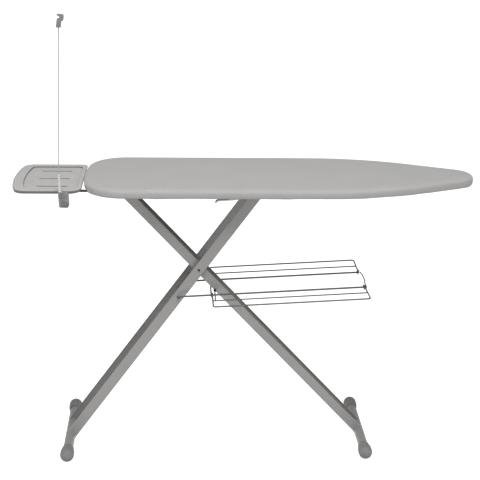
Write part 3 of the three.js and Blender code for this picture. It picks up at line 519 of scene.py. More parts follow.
CROSSING = np.array([-0.1486, 0.6124])
INNER_FOOT = np.array([0.402, 0.0225])
OUTER_FOOT = np.array([-0.575, 0.0225])
TOP_PIN_Z = 0.874
STRIP, LIP, BEND = 0.0016, 0.0038, 0.0024
INNER_HALF, INNER_HEIGHT = 0.028, 0.0305
OUTER_HALF, OUTER_HEIGHT = 0.050, 0.034
TOP_END = 0.015                        # how far the legs run on past their top pins
TUBE_R = 0.016


def bent(points, radius, steps=6):
    """Straight runs through the points, with every corner replaced by a smooth curve that
    leaves and meets the runs at radius times the tangent of half the turn."""
    points = np.asarray(points, float)
    line = [points[:1]]
    for before, here, after in zip(points, points[1:], points[2:]):
        back, on = before - here, after - here
        lengths = np.linalg.norm(back), np.linalg.norm(on)
        turn = np.pi - np.arccos(np.clip(back @ on / lengths[0] / lengths[1], -1, 1))
        reach = min(radius * math.tan(turn / 2), 0.45 * min(lengths))
        start, end = here + back / lengths[0] * reach, here + on / lengths[1] * reach
        t = np.linspace(0, 1, steps + 1)[:, None]
        line.append((1 - t) ** 2 * start + 2 * t * (1 - t) * here + t**2 * end)
    line.append(points[-1:])
    return np.concatenate(line)


def leg_axes(foot):
    """Unit directions down the leg and square to it in XZ, and its lengths to foot and top pin."""
    down = foot - CROSSING
    length = np.linalg.norm(down)
    down = down / length
    return down, np.array([-down[1], down[0]]), length, (TOP_PIN_Z - CROSSING[1]) / abs(down[1])


def placed(along, across, normal, down, square):
    """Points in metres from distances down the leg, across it and square to it."""
    x = CROSSING[0] + along * down[0] + normal * square[0]
    z = CROSSING[1] + along * down[1] + normal * square[1]
    return np.stack(np.broadcast_arrays(x, across, z), -1)


def thick_sheet(front, back, keep):
    """Faces of a sheet with two matching grids of points and a table of the cells that exist:
    both sides of every cell, and a wall wherever a cell has no neighbour."""
    rows, columns = front.shape[:2]
    index = np.arange(rows * columns).reshape(rows, columns)
    a, b, c, d = index[:-1, :-1], index[:-1, 1:], index[1:, 1:], index[1:, :-1]
    faces = [np.stack([a, b, c, d], -1)[keep], np.stack([a, d, c, b], -1)[keep] + rows * columns]
    wide = np.zeros((rows + 1, columns + 1), bool)
    wide[1:-1, 1:-1] = keep
    for near, p, q in [(wide[:-2, 1:-1], a, b), (wide[2:, 1:-1], d, c),
                       (wide[1:-1, :-2], a, d), (wide[1:-1, 2:], b, c)]:
        bare = keep & ~near
        i, j = p[bare], q[bare]
        faces.append(np.stack([i, j, j + rows * columns, i + rows * columns], -1))
    return np.concatenate([front.reshape(-1, 3), back.reshape(-1, 3)]), np.concatenate(faces)


def leg_channel(name, foot, half, height, web, window=None):
    """A lipped channel: the strip's middle line runs lip, flange, web, flange, lip with round
    bends, its two faces lie half a thickness to either side, and the section is carried down
    the leg. The foot end follows the foot tube's round back. A window leaves out the web."""
    down, square, length, rise = leg_axes(foot)
    h, w, t = height / 2 - STRIP / 2, half - STRIP / 2, STRIP / 2
    tip = half - LIP
    corners = [(-tip, -h), (-w, -h), (-w, h), (w, h), (w, -h), (tip, -h)]
    line = bent([(y, z, 0) for y, z in corners], BEND, 5)[:, :2]
    web_line = np.linspace(-w + 0.004, w - 0.004, 23)
    half_way = len(line) // 2
    web_points = np.stack([web_line, np.full(len(web_line), h)], 1)
    line = np.concatenate([line[:half_way], web_points, line[half_way:]])
    way = np.gradient(line, axis=0)
    way = way / np.linalg.norm(way, axis=1)[:, None]
    out = np.stack([-way[:, 1], way[:, 0]], 1)
    stations = np.linspace(-rise - TOP_END, length - 0.03, 60)
    for stop in window or ():
        stations = np.sort(np.concatenate([stations[np.abs(stations - stop) > 0.012], [stop]]))
    sides = []
    for offset in (t, -t):
        section = line + out * offset
        y, n = section[:, 0], section[:, 1] * web
        saddle = length - np.sqrt(np.maximum((TUBE_R + 0.0003) ** 2 - n**2, 0))
        along = np.concatenate([np.broadcast_to(stations[:, None], (len(stations), len(y))), saddle[None]])
        if window:
            inner_half = half - STRIP
            corner_r = 0.014
            into = np.clip(np.abs(y) - (inner_half - corner_r), 0, corner_r * 0.999)
            fillet = corner_r - np.sqrt(corner_r**2 - into**2)
            along[np.argmin(np.abs(stations - window[0]))] += fillet
            along[np.argmin(np.abs(stations - window[1]))] -= fillet
        sides.append(placed(along, y[None], n[None], down, square))
    keep = np.ones((len(stations), len(line) - 1), bool)
    if window:
        centre = (line[1:, 0] + line[:-1, 0]) / 2
        on_web = (np.abs(centre) < half - 0.0035) & (line[1:, 1] > 0)
        rows = (stations >= window[0] - 1e-9) & (stations < window[1] - 1e-9)
        keep[np.ix_(rows, on_web)] = False
    points, faces = thick_sheet(sides[0], sides[1], keep)
    return make(name, points, faces, frame_finish, 30)


inner_channel = leg_channel("inner_leg_channel", INNER_FOOT, INNER_HALF, INNER_HEIGHT, -1)
fit(inner_channel, "inner_leg", "inner_leg")
outer_channel = leg_channel("outer_leg_channel", OUTER_FOOT, OUTER_HALF, OUTER_HEIGHT, 1, (-0.275, 0.045))
fit(outer_channel, "outer_leg", "outer_leg")

# ------------------------------------------------------------------ feet
# Each leg is welded to the middle of a cross tube. Bulb-shaped caps of grey polypropylene
# with a fine spark-eroded texture push over the tube's ends and stand on the floor.


def moulded(name, dark, light, roughness, fleck=0.0011, sides=None):
    """Moulded plastic: fine pitted texture in two greys, and a soft bump of the same pits. If
    sides is given, upright faces take that darker colour as painted shade, for the less light that walls get
    than the top."""
    paint = Paint(name, Specular_IOR_Level=0.2 if sides else 0.4)
    where = paint.place()
    pits = paint.noise(where, fleck, 3.0, 0.7)
    flow = paint.noise(paint.place((1.0, 0.35, 1.0)), 0.03, 3.0)
    tone = paint.between(paint.ramp(pits * 0.65 + flow * 0.35, (0.35, 0.0), (0.65, 1.0)), dark, light)
    # painted shade: faces that stand upright take the darker sides colour
    if sides:
        facing = paint.node("ShaderNodeTexCoord", {}, {}, output="Normal")
        up = paint.node("ShaderNodeSeparateXYZ", {}, {"Vector": facing}, output="Z")
        tone = paint.between(paint.ramp(up, (0.3, 0.0), (0.93, 1.0)), sides, tone)
    paint.set(Base_Color=tone)
    paint.set(Roughness=flow * 0.15 + (roughness - 0.075))
    return paint.set(Normal=paint.bump(pits, 0.0003, 0.6))


cap_finish = moulded("grey_moulding", grey(104, 1), grey(126, 1), 0.6)


def turned(name, x, z, profile, finish, sides=64):
    """A turned piece about the line along Y at x, z: the profile's radii and places, in
    metres, carried round in a full circle."""
    profile = np.asarray(profile, float)
    angle = np.linspace(0, 2 * np.pi, sides, endpoint=False)
    r, y = profile[:, :1], profile[:, 1:]
    points = np.stack(np.broadcast_arrays(x + r * np.cos(angle), y, z + r * np.sin(angle)), -1)
    return make(name, points.reshape(-1, 3), quads(len(profile), sides, True), finish)


def cap_profile():
    """Radius and distance from the middle, in mm: an open mouth a little wider than the tube, a
    slow swell to the bulb, a round end, and the socket inside."""
    place = np.linspace(138.4, 179, 60)
    climb = np.clip((place - 138) / 27, 0, 1)
    r = 18.6 + 3.9 * climb**2 * (3 - 2 * climb)
    end = np.linspace(0, np.pi / 2, 14)[1:]
    dome = np.stack([22.5 * np.cos(end), 179 + 23 * np.sin(end)], 1)
    dome[-1, 0] = 0
    mouth = np.array([[16.4, 150.0], [17.4, 144.0], [17.4, 138.3], [17.7, 138.0], [18.3, 138.0]])
    inside = np.array([[0.0, 168.4], [16.2, 168.4], [16.2, 150.0]])
    return np.concatenate([mouth, np.stack([r, place], 1), dome, inside, mouth[:1]])


def foot(name, spot, body):
    """Cross tube with its two caps."""
    reach, bore = 0.168, TUBE_R - 0.0015
    tube = [(bore, -reach), (TUBE_R, -reach), *[(TUBE_R, y) for y in np.linspace(-0.16, 0.16, 9)],
            (TUBE_R, reach), (bore, reach), (bore, -reach)]
    made = turned(f"{name}_cross_tube", spot[0], spot[1], tube, frame_finish, 48)
    parts = [(made, f"{name}_foot_tube", "frame_paint")]
    for end, sign in (("front", -1), ("rear", 1)):
        profile = cap_profile() * MM * [1, sign]
        cap = turned(f"{name}_cap_{end}", spot[0], spot[1], profile, cap_finish)
        parts.append((cap, f"{name}_foot_cap_{end}", "grey_plastic"))
    for made, node, slot in parts:
        fit(made, node, body)


foot("inner", INNER_FOOT, "inner_leg")
foot("outer", OUTER_FOOT, "outer_leg")


def weld_bead(name, foot_spot, half, height, web, body):
    """Bead where a channel meets its tube: a lumpy round run that follows the channel's outer
    edge, lip to lip, along the tube's back."""
    down, square, length, _ = leg_axes(foot_spot)
    h = height / 2
    edge = bent([(-half, -h * 0.97, 0), (-half, h, 0), (half, h, 0), (half, -h * 0.97, 0)], 0.003, 4)[:, :2]
    t = np.concatenate([[0], np.cumsum(np.linalg.norm(np.diff(edge, axis=0), axis=1))])
    spots = np.linspace(0, t[-1], 150)
    y, n = np.interp(spots, t, edge[:, 0]), np.interp(spots, t, edge[:, 1]) * web
    along = length - np.sqrt(np.maximum((TUBE_R + 0.0006) ** 2 - n**2, 0))
    lumps = 0.0013 + 0.00025 * np.sin(spots / 0.0028 * 2 * np.pi)
    lumps = lumps * np.sqrt(np.clip(np.minimum(spots, t[-1] - spots) / 0.0015, 0.02, 1))
    rings = tube_rings(placed(along, y, n, down, square), lumps, 8)
    bead = make(name, rings.reshape(-1, 3), quads(len(rings), 8, True), frame_finish, 60)
    fill_ends(bead)
    fit(bead, None, body)


def fill_ends(made):
    """Closes every open edge loop of a piece with a face."""
    shape = bmesh.new()
    shape.from_mesh(made.data)
    bmesh.ops.holes_fill(shape, edges=[e for e in shape.edges if e.is_boundary], sides=0)
    bmesh.ops.recalc_face_normals(shape, faces=shape.faces)
    shape.to_mesh(made.data)
    shape.free()


weld_bead("inner_foot_weld", INNER_FOOT, INNER_HALF, INNER_HEIGHT, -1, "inner_leg")
weld_bead("outer_foot_weld", OUTER_FOOT, OUTER_HALF, OUTER_HEIGHT, 1, "outer_leg")

# ------------------------------------------------------------------ crossing
# A steel bolt with a low painted head and a hexagon socket holds the legs together. Nylon
# washers keep the inner leg in the middle of the outer one.

nylon_finish = moulded("natural_nylon", grey(205, 3), grey(222, 3), 0.45, 0.004)
black_and_shade_finish = moulded("black_moulding", grey(28), grey(44), 0.5)


def pivot():
    """Turned head with a rounded rim, a round socket in it lined with a black hexagonal cup as
    painted shade for the hole's dark inside, and a shank that goes through to a round nut behind."""
    x, z = CROSSING
    face, seat, end = -0.0516, -0.0503, 0.0516
    head = [(0.004, seat + 0.003), (0.004, face), (0.0054, face), (0.0058, face + 0.0003),
            (0.006, face + 0.0007), (0.006, seat), (0.004, seat), (0.004, end), (0.0, end),
            (0.0, seat + 0.003), (0.004, seat + 0.003)]
    bolt = turned("pivot_bolt_turned", x, z, head, frame_finish, 36)
    fit(bolt, "pivot_bolt", "outer_leg")
    # black cup inside the socket: painted shade for the hole, not a part of the bolt
    shade_cup = [(0.0, seat - 0.0001), (0.00395, seat - 0.0001), (0.00395, face - 0.00005),
           (0.0037, face - 0.00005), (0.0037, seat - 0.0005), (0.0, seat - 0.0005), (0.0, seat - 0.0001)]
    socket = turned("pivot_socket", x, z, shade_cup, black_and_shade_finish, 6)
    fit(socket, None, "outer_leg")
    nut = [(0.0043, -seat), (0.0065, -seat), (0.0065, end - 0.0004), (0.0061, end),
           (0.0043, end), (0.0043, -seat)]
    ring = turned("pivot_nut_turned", x, z, nut, frame_finish, 36)
    fit(ring, "pivot_nut", "outer_leg")


pivot()
for side in ("front", "rear"):
    dress(f"pivot_spacer_{side}", nylon_finish)
    dress(f"stay_plug_{side}", black_and_shade_finish)

# ------------------------------------------------------------------ fittings under the board
# Pressings, pins and rods: the painted hinge bracket, slide rails and lever brackets, the slide rails' nylon
# # shoes, and the zinc-plated height lock's bar, plate, shaft and spring, with the pins, rivets, screws and
# rod clips.


def zinc_plate():
    """Bright zinc: cloudy crystals in two greys, drawn faintly along the rolling direction."""
    paint = Paint("zinc_plate", Metallic=0.9)
    where = paint.place()
    cells = {"Vector": where, "Scale": 420.0}
    crystal = paint.node("ShaderNodeTexVoronoi", {"feature": "F1"}, cells, output="Distance")
    drawn = paint.noise(paint.place((0.06, 1.0, 1.0)), 0.0009, 3.0, 0.6)
    shade = crystal * 0.5 + drawn * 0.5
    paint.set(Base_Color=paint.between(shade, grey(150), grey(196)))
    paint.set(Roughness=drawn * 0.18 + 0.26)
    return paint.set(Normal=paint.bump(drawn, 0.00006, 0.5))


zinc_finish = zinc_plate()


def eased(node, finish, width=0.00035):
    """The CAD node's own shape with its doubles merged, flat faces joined up and every sharp
    edge given a small round, as a pressing or a casting has."""
    shape = bmesh.new()
    shape.from_mesh(frame["nodes"][node].data)
    bmesh.ops.remove_doubles(shape, verts=shape.verts, dist=1e-6)
    bmesh.ops.dissolve_limit(shape, angle_limit=math.radians(1.5), verts=shape.verts, edges=shape.edges)
    mesh = bpy.data.meshes.new(f"{node}_eased")
    shape.to_mesh(mesh)
    shape.free()
    mesh.polygons.foreach_set("use_smooth", np.ones(len(mesh.polygons), bool))
    mesh.set_sharp_from_angle(angle=math.radians(40))
    mesh.materials.append(finish)
    made = bpy.data.objects.new(mesh.name, mesh)
    scene.collection.objects.link(made)
    bevel = made.modifiers.new("round", "BEVEL")
    bevel.width, bevel.segments = width, 2
    bevel.limit_method, bevel.angle_limit = "ANGLE", math.radians(40)
    bevel.use_clamp_overlap = True
    bevel.harden_normals = False
    fit(made, node, frame["nodes"][node]["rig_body"])


for node in ("hinge_bracket", "slide_rail_front", "slide_rail_rear", "lever_bracket_outer",
             "lever_bracket_inner"):
    eased(node, frame_finish)
for node in ("height_bar", "lock_plate", *[f"rod_clip_{k}" for k in range(1, 5)]):
    eased(node, zinc_finish, 0.0003)
for node in ("shoe_front", "shoe_rear"):
    eased(node, nylon_finish, 0.0008)
for node in ("hinge_pin", "lever_shaft", "top_axle", *[f"bracket_rivet_{k}" for k in range(1, 5)],
             *[f"tray_screw_{k}" for k in range(1, 5)]):
    eased(node, zinc_finish, 0.0003)


def rod(name, path, radius, finish, sides=14):
    """Round wire along a path, with domed ends: the last rings shrink as a quarter circle."""
    path = np.asarray(path, float)
    lead = np.linspace(0, np.pi / 2, 5)[:-1]
    start_way = (path[0] - path[1]) / np.linalg.norm(path[0] - path[1])
    end_way = (path[-1] - path[-2]) / np.linalg.norm(path[-1] - path[-2])
    depth = radius * 0.45
    head = path[0] - start_way * depth + np.sin(lead[::-1])[:, None] * start_way * depth
    tail = path[-1] - end_way * depth + np.sin(lead)[:, None] * end_way * depth
    dome = radius * np.cos(lead)
    radii = np.concatenate([dome[::-1], np.full(len(path) - 2, radius), dome])
    line = np.concatenate([head, path[1:-1], tail])
    rings = tube_rings(line, radii, sides)
    ends = np.stack([path[0], path[-1]])
    points = np.concatenate([rings.reshape(-1, 3), ends])
    body = quads(len(rings), sides, True)
    k = np.arange(sides)
    first = np.stack([(k + 1) % sides, k, np.full(sides, len(points) - 2)], 1)
    last_row = (len(rings) - 1) * sides
    last = np.stack([last_row + k, last_row + (k + 1) % sides, np.full(sides, len(points) - 1)], 1)
    return make(name, points, [*body.tolist(), *first.tolist(), *last.tolist()], finish, 50)


SHAFT = (0.001, 0.889)


def lever_spring():
    """Torsion spring: a helix of 1.2 mm wire round the shaft, with one arm up to the bracket
    and one down onto the lever's eye."""
    coil_r, turns, start_y, length = 0.0048, 6, -0.134, 0.0102
    turn = np.linspace(0, 2 * np.pi * turns, 150)
    coil = np.stack([SHAFT[0] + coil_r * np.cos(turn), start_y + length * turn / turn[-1],
                     SHAFT[1] + coil_r * np.sin(turn)], 1)
    arm_up = coil[-1] + np.array([0.0, 0.0006, 0.009])
    arm_down = coil[0] + np.array([0.0, -0.0006, -0.006])
    made = rod("lever_spring_coil", np.concatenate([[arm_down], coil, [arm_up]]), 0.0006, zinc_finish, 8)
    fit(made, "lever_spring", "board")


lever_spring()


def height_lever():
    """Handle: a rounded bar, 12 mm wide and 6 mm deep, from the shaft to a finger hook at its
    free end, where it narrows, and an eye that turns on the shaft."""
    middle, half_width, half_depth, drop = -150, 6.0, 2.9, 1.6
    line = np.array([[1.0, 889.0], [-40, 882], [-90, 878.5], [-99, 876.3], [-103.3, 869.6]])
    line = bent([(x, z, 0) for x, z in line], 12, 8)[:, :2]
    way = np.gradient(line, axis=0)
    way = way / np.linalg.norm(way, axis=1)[:, None]
    out = np.stack([-way[:, 1], way[:, 0]], 1)
    lap = np.linspace(0, 2 * np.pi, 20, endpoint=False)
    flat = np.sign(np.cos(lap)) * np.abs(np.cos(lap)) ** 0.35 * half_width
    tall = np.sign(np.sin(lap)) * np.abs(np.sin(lap)) ** 0.6 * half_depth
    width = np.sqrt(np.clip((len(line) - 0.6 - np.arange(len(line))) / 3.0, 0.3, 1))
    spots = line[:, None] + out[:, None] * (tall + drop)[:, None]
    points = np.stack([spots[..., 0], middle + flat * width[:, None], spots[..., 1]], -1) * MM
    faces = quads(len(line), len(lap), True)
    handle = make("height_lever_handle", points.reshape(-1, 3), faces, zinc_finish, 40)
    fill_ends(handle)
    fit(handle, "height_lever", "lever")
    eye = [(0.0033, -0.156), (0.0058, -0.156), (0.006, -0.1557), (0.006, -0.1443), (0.0058, -0.144),
           (0.0033, -0.144), (0.0033, -0.156)]
    boss = turned("height_lever_eye", *SHAFT, eye, zinc_finish, 32)
    fit(boss, None, "lever")


height_lever()

# ------------------------------------------------------------------ laundry rack
# Welded wire: two thick rails hook into holes in the outer leg's flanges and rest on pegs of
# the inner leg. A wing of two thin wires turns on each rail in coiled eyes.

RACK_HOOK = np.array([-0.21597, 0.5192])
RACK_TILT = math.radians(3.1)
RISE = 9.5
RAIL_Y = 70.0
RAIL_R, WING_R, MIDDLE_R = 2.9, 2.4, 2.1
RACK_LEFT, RACK_RIGHT, RACK_LENGTH = 109.5, 605.0, 609.0
WING_OUT, WING_MIDDLE, WING_LIFT = 183.0, 126.0, 3.6
TAIL_RISE = 26                         # of the wings' left tails, above the rails
PEG_X, PEG_Z, PEG_REST = -96, 535.6, 529.6

wire_finish = stoved_paint("wire_paint", grey(74), grey(94), 0.4)
dark_wire_finish = stoved_paint("dark_wire_paint", grey(34), grey(48), 0.4)


def in_rack(points):
    """Points in metres from the rack's own millimetres: along it, across it and up from it."""
    p = np.asarray(points, float) * MM
    c, s = math.cos(RACK_TILT), math.sin(RACK_TILT)
    x, z = RACK_HOOK[0] + p[:, 0] * c - p[:, 2] * s, RACK_HOOK[1] + p[:, 0] * s + p[:, 2] * c
    return np.stack([x, p[:, 1], z], 1)


for end, side in (("front", -1), ("rear", 1)):
    rail_line = bent([(0, side * 46, 0), (0, side * 62, 0), (10, side * RAIL_Y, RISE),
                      (RACK_LENGTH, side * RAIL_Y, RISE)], 7)
    rail = rod(f"rack_{end}_rail_wire", in_rack(rail_line), RAIL_R * MM, wire_finish)
    fit(rail, f"rack_rail_{end}", "rack")

cross_x = RACK_LENGTH + 2.3
cross_line = bent([(cross_x, -73, RISE), (cross_x, -30, RISE), (cross_x + 4, -12, RISE),
                   (cross_x + 4, 48, RISE), (cross_x, 73, RISE)], 8)
cross_wire = rod("rack_end_wire", in_rack(cross_line), 2.0 * MM, wire_finish)
fit(cross_wire, "rack_cross_wire", "rack")


def rack_wing(end, side):
    """One wing: a single wire that starts as a tail inside the rail, wraps once round it,
    runs out and along and back, wraps again and ends in the second tail; and a middle wire
    welded across. Round the rail the wire follows a helix."""
    wrap = RAIL_R + WING_R + 0.35
    turn = np.linspace(0, 2 * np.pi, 26)

    def eye(x, drift):
        """Over the rail, down its far side, under it and up again, moving drift along it."""
        return np.stack([x + drift * (turn / (2 * np.pi) - 0.5), side * (RAIL_Y + wrap * np.sin(turn)),
                         RISE + wrap * np.cos(turn)], 1)

    tail = 55.0
    left, right = RACK_LEFT + 2.0, RACK_RIGHT + 1.5
    high = RISE + WING_LIFT
    left_tail = [(RACK_LEFT - 2.0, side * tail, RISE + TAIL_RISE),
                 (RACK_LEFT - 2.0, side * (RAIL_Y - 5), RISE + wrap + 1.5)]
    out_left = [(left, side * (RAIL_Y + 9), RISE + wrap * 0.8), (left, side * (RAIL_Y + 20), RISE)]
    far = [(left, side * WING_OUT, high), (right, side * WING_OUT, high)]
    out_right = [(right, side * (RAIL_Y + 20), RISE), (right, side * (RAIL_Y + 9), RISE + wrap * 0.8)]
    right_tail = [(RACK_RIGHT - 2.5, side * (RAIL_Y - 8), RISE + wrap * 0.6),
                  (RACK_RIGHT - 2.5, side * tail, RISE + 1)]
    outer = bent([*out_left[1:], *far, out_right[0]], 9, 8)
    line = np.concatenate([left_tail, eye(RACK_LEFT, 4.0), out_left[:1], outer, out_right[1:],
                           eye(RACK_RIGHT - 0.5, -4.0), right_tail])
    loop = rod(f"rack_wing_{end}_wire", in_rack(line), WING_R * MM, wire_finish, 12)
    fit(loop, f"rack_wing_{end}", f"wing_{end}")
    height = RISE + WING_LIFT * (WING_MIDDLE - RAIL_Y) / (WING_OUT - RAIL_Y)
    middle = in_rack([(left, side * WING_MIDDLE, height), (right, side * WING_MIDDLE, height)])
    bar = rod(f"rack_wing_{end}_middle_wire", middle, MIDDLE_R * MM, wire_finish, 12)
    fit(bar, None, f"wing_{end}")


rack_wing("front", -1)
rack_wing("rear", 1)

for end, side in (("front", -1), ("rear", 1)):
    peg = bent([(PEG_X, side * y, z) for y, z in ((24, PEG_Z), (37, PEG_Z), (56, PEG_REST),
                                                  (77, PEG_REST), (86, PEG_REST - 8))], 5)
    stay = rod(f"rack_peg_{end}", peg * MM, 0.002, dark_wire_finish)
    fit(stay, f"rack_stay_{end}", "inner_leg")

# ------------------------------------------------------------------ iron rest
# A tray moulded in pale grey heat-resistant plastic: a rounded rim, a sunken panel with three
# slots, and saddles underneath that sit on two black steel rods.

# the tray's upright walls, slot sides and saddle sides take a darker grey: painted shade
tray_finish_shaded_walls = moulded("tray_moulding", grey(158, 1), grey(170, 1), 0.62, 0.0009, sides=grey(112, 1))

END_R = 700.0
TRAY = dict(left=-730, right=-511, half=158, corner=38, front=38, rear=14)
PANEL = dict(left=-696, right=-526, half=132, corner=14, front=14, rear=14)
TRAY_TOP, PANEL_DEPTH = 908.0, 6.0


def four_sided(corners):
    """Closed outline of four round corners joined by sides. Each corner has a centre, a radius
    and its first and last angle; a side is a straight run, or the arc given with it."""
    points = []
    for (x, y, r, a0, a1), side in corners:
        angle = np.linspace(a0, a1, 14)
        points.append(np.stack([x + r * np.cos(angle), y + r * np.sin(angle)], 1))
        points.append(side)
    whole = []
    for k, part in enumerate(points):
        if part is None:
            start, end = points[k - 1][-1], points[(k + 1) % len(points)][0]
            part = start + np.linspace(0, 1, 22)[1:-1, None] * (end - start)
        whole.append(part)
    return np.concatenate(whole)


def bowed_ring(shape, inset):
    """An outline moved in by inset: a straight inner end with two corners, straight sides, and
    an outer end bowed to a 700 mm radius with two like corners."""
    end_x = shape["left"] + END_R
    c, f, r, q = shape["corner"], shape["front"], shape["rear"], math.pi / 2
    cy = shape["half"] - c
    cx = end_x - math.sqrt((END_R - c) ** 2 - cy**2)
    meet = math.atan2(cy, cx - end_x)
    bow = np.linspace(meet, 2 * math.pi - meet, 22)[1:-1]
    bow = np.stack([end_x + (END_R - inset) * np.cos(bow), (END_R - inset) * np.sin(bow)], 1)
    x, y = shape["right"], shape["half"]
    return four_sided([
        ((x - f, f - y, f - inset, -q, 0), None), ((x - r, y - r, r - inset, 0, q), None),
        ((cx, cy, c - inset, q, meet), bow), ((cx, -cy, c - inset, 2 * math.pi - meet, 3 * q), None)])


def iron_tray():
    """Rings from the skirt's lower edge up a 4 mm bend onto a softly crowned rim, over a small
    bend down a steep wall to the panel, and in to its middle."""
    a = np.linspace(0, np.pi / 2, 7)
    floor = TRAY_TOP - PANEL_DEPTH
    skirt = [(bowed_ring(TRAY, 3.2 - 1.0 * k), TRAY_TOP - 11.5 + 2.5 * k) for k in range(3)]
    edge = [(bowed_ring(TRAY, 4 - 4 * math.cos(t)), TRAY_TOP - 4.2 + 4 * math.sin(t)) for t in a]
    outer, inner = bowed_ring(TRAY, 6), bowed_ring(PANEL, -4)
    rim = [(outer + s * (inner - outer), TRAY_TOP - 0.2 + 0.2 * math.sin(math.pi * s))
           for s in np.linspace(0, 1, 6)]
    lip = [(bowed_ring(PANEL, -4 + 3.4 * math.sin(t)), TRAY_TOP - 1.8 + 1.6 * math.cos(t)) for t in a[1:]]
    wall = [(bowed_ring(PANEL, -0.3), floor + 1.2)]
    root = [(bowed_ring(PANEL, -0.2 + 1.0 * (1 - math.cos(t))), floor + 1.0 * (1 - math.sin(t))) for t in a]
    middle = np.array([[(PANEL["left"] + PANEL["right"]) / 2, 0.0]])
    base = bowed_ring(PANEL, 2)
    panel = [(base + s * (middle - base), floor) for s in (0.0, 0.2, 0.45, 0.75, 1.0)]
    rows = [*skirt, *edge, *rim, *lip, *wall, *root, *panel]
    count = len(base)
    points = np.array([np.concatenate([ring, np.full((count, 1), z)], 1) for ring, z in rows]) * MM
    made = make("iron_rest_tray", points.reshape(-1, 3), quads(len(rows), count, True), tray_finish_shaded_walls, 50)
    thick = made.modifiers.new("wall", "SOLIDIFY")
    thick.thickness, thick.offset, thick.use_even_offset = 2.4 * MM, -1.0, True
    return made


SLOT_R, SLOT_LEFT, SLOT_RIGHT = 4.0, -653.0, -556.0
SLOT_ROWS = (-90.0, 0.0, 90.0)


def slot_cutter(y):
    """A long flat-sided peg with round ends, where a slot goes through the panel."""
    r, x0, x1 = SLOT_R, SLOT_LEFT + SLOT_R, SLOT_RIGHT - SLOT_R
    a = np.linspace(-np.pi / 2, np.pi / 2, 12)
    right = np.stack([x1 + r * np.cos(a), y + r * np.sin(a)], 1)
    left = np.stack([x0 - r * np.cos(a), y - r * np.sin(a)], 1)
    ring = np.concatenate([right, left])
    n = len(ring)
    levels = (TRAY_TOP - 12, TRAY_TOP - 2)
    points = np.concatenate([np.concatenate([ring, np.full((n, 1), z)], 1) for z in levels]) * MM
    return points, [*quads(2, n, True).tolist(), list(range(n)), list(range(n, 2 * n))]


def cut_slots(tray):
    """Takes the three slots out of the walled tray, for good, and keeps edges sharper than 40 degrees sharp.
    """
    shapes = [slot_cutter(y) for y in SLOT_ROWS]
    points = np.concatenate([p for p, _ in shapes])
    faces = [[i + k * len(p) for i in f] for k, (p, fs) in enumerate(shapes) for f in fs]
    cutter = make("slot_cutter", points, faces, tray_finish_shaded_walls)
    hole = tray.modifiers.new("slots", "BOOLEAN")
    hole.operation, hole.object, hole.solver = "DIFFERENCE", cutter, "EXACT"
    bpy.context.view_layer.update()
    whole = tray.evaluated_get(bpy.context.evaluated_depsgraph_get())
    mesh = bpy.data.meshes.new_from_object(whole)
    tray.modifiers.clear()
    tray.data = mesh
    bpy.data.objects.remove(cutter)
    mesh.polygons.foreach_set("use_smooth", np.ones(len(mesh.polygons), bool))
    mesh.set_sharp_from_angle(angle=math.radians(40))


tray = iron_tray()
cut_slots(tray)
fit(tray, "iron_tray", "board")


def box_block(name, low, high, finish, width):
    """A block with rounded edges between two corners in mm."""
    (x0, y0, z0), (x1, y1, z1) = low, high
    base = ((x0, y0), (x1, y0), (x1, y1), (x0, y1))
    corners = np.array([[x, y, z] for z in (z0, z1) for x, y in base]) * MM
    faces = [(0, 3, 2, 1), (4, 5, 6, 7), (0, 1, 5, 4), (1, 2, 6, 5), (2, 3, 7, 6), (3, 0, 4, 7)]
    made = make(name, corners, faces, finish)
    bevel = made.modifiers.new("round", "BEVEL")
    bevel.width, bevel.segments = width * MM, 3
    fit(made, None, "board")


for row, x in (("outer", -682.0), ("inner", -552.0)):
    for end, side in (("front", -1), ("rear", 1)):
        y = sorted((side * 112.0, side * 85.0))
        box_block(f"tray_saddle_{row}_{end}", (x, y[0], 886.0), (x + 18.0, y[1], 901.0), tray_finish_shaded_walls,
                  1.2)

for side in ("front", "rear"):
    dress(f"tray_rod_{side}", dark_wire_finish)

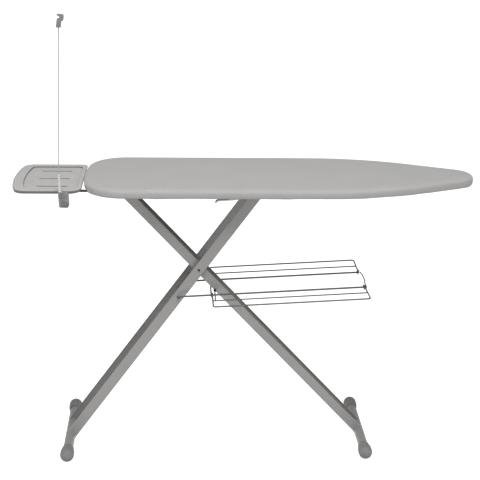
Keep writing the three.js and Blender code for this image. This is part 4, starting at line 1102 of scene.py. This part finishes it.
# ------------------------------------------------------------------ cord holder
# A socket moulded in grey plastic grips the tray's skirt. A pale tapered sleeve stands in it
# and holds a springy steel wire with a clip on top that carries the iron's cord.

holder_finish = moulded("holder_moulding", grey(66, 1), grey(142, 1), 0.62, 0.0034)
for node, width in (("cord_holder", 0.0016), ("holder_screw", 0.0003)):
    eased(node, holder_finish, width)

sleeve_finish = moulded("pale_moulding", grey(176), grey(188), 0.45, 0.004)
steel_paint = Paint("spring_steel", Metallic=0.7)
steel_drawn = steel_paint.noise(steel_paint.place((1.0, 1.0, 0.02)), 0.0008, 2.0)
steel_paint.set(Base_Color=steel_paint.between(steel_drawn, grey(148), grey(176)))
steel_finish = steel_paint.set(Roughness=steel_drawn * 0.2 + 0.25)

STAND = np.array([-0.572, -0.168, 0.900])
SLEEVE_LEAN, WIRE_LEAN = math.radians(-2.0), math.radians(1.7)


def leaning(foot, lean, heights):
    """Points along a line that leans towards +X, at the given heights above its foot, in mm."""
    h = np.asarray(heights, float)[:, None] * MM
    return foot + h * np.array([math.sin(lean), 0.0, math.cos(lean)])


sleeve_levels = [0, 0.2, 4, 7.6, 8, 9, 12, 13, 30, 50, 61, 62.4, 63, 63]
sleeve_radii = np.array([0.001, 5.9, 6.0, 6.0, 5.9, 5.5, 5.2, 5.1, 4.6, 4.1, 3.8, 3.6, 3.0, 1.42]) * MM
sleeve_line = leaning(STAND, SLEEVE_LEAN, np.array(sleeve_levels) + np.arange(14) * 0.001)
sleeve_rings = tube_rings(sleeve_line, sleeve_radii, 32)
sleeve = make("antenna_sleeve_moulded", sleeve_rings.reshape(-1, 3), quads(14, 32, True), sleeve_finish, 40)
fill_ends(sleeve)
fit(sleeve, "antenna_sleeve", "antenna_base")

sleeve_top = leaning(STAND, SLEEVE_LEAN, [63.0])[0]
wire_line = leaning(sleeve_top, WIRE_LEAN, np.linspace(0.6, 435.7, 20))
wire = rod("antenna_spring_wire", wire_line, 0.0014, steel_finish, 12)
fit(wire, "antenna_wire", "antenna")

clip_finish = moulded("clip_moulding", grey(98, 1), grey(118, 1), 0.55)
eased("cord_clip", clip_finish, 0.0009)
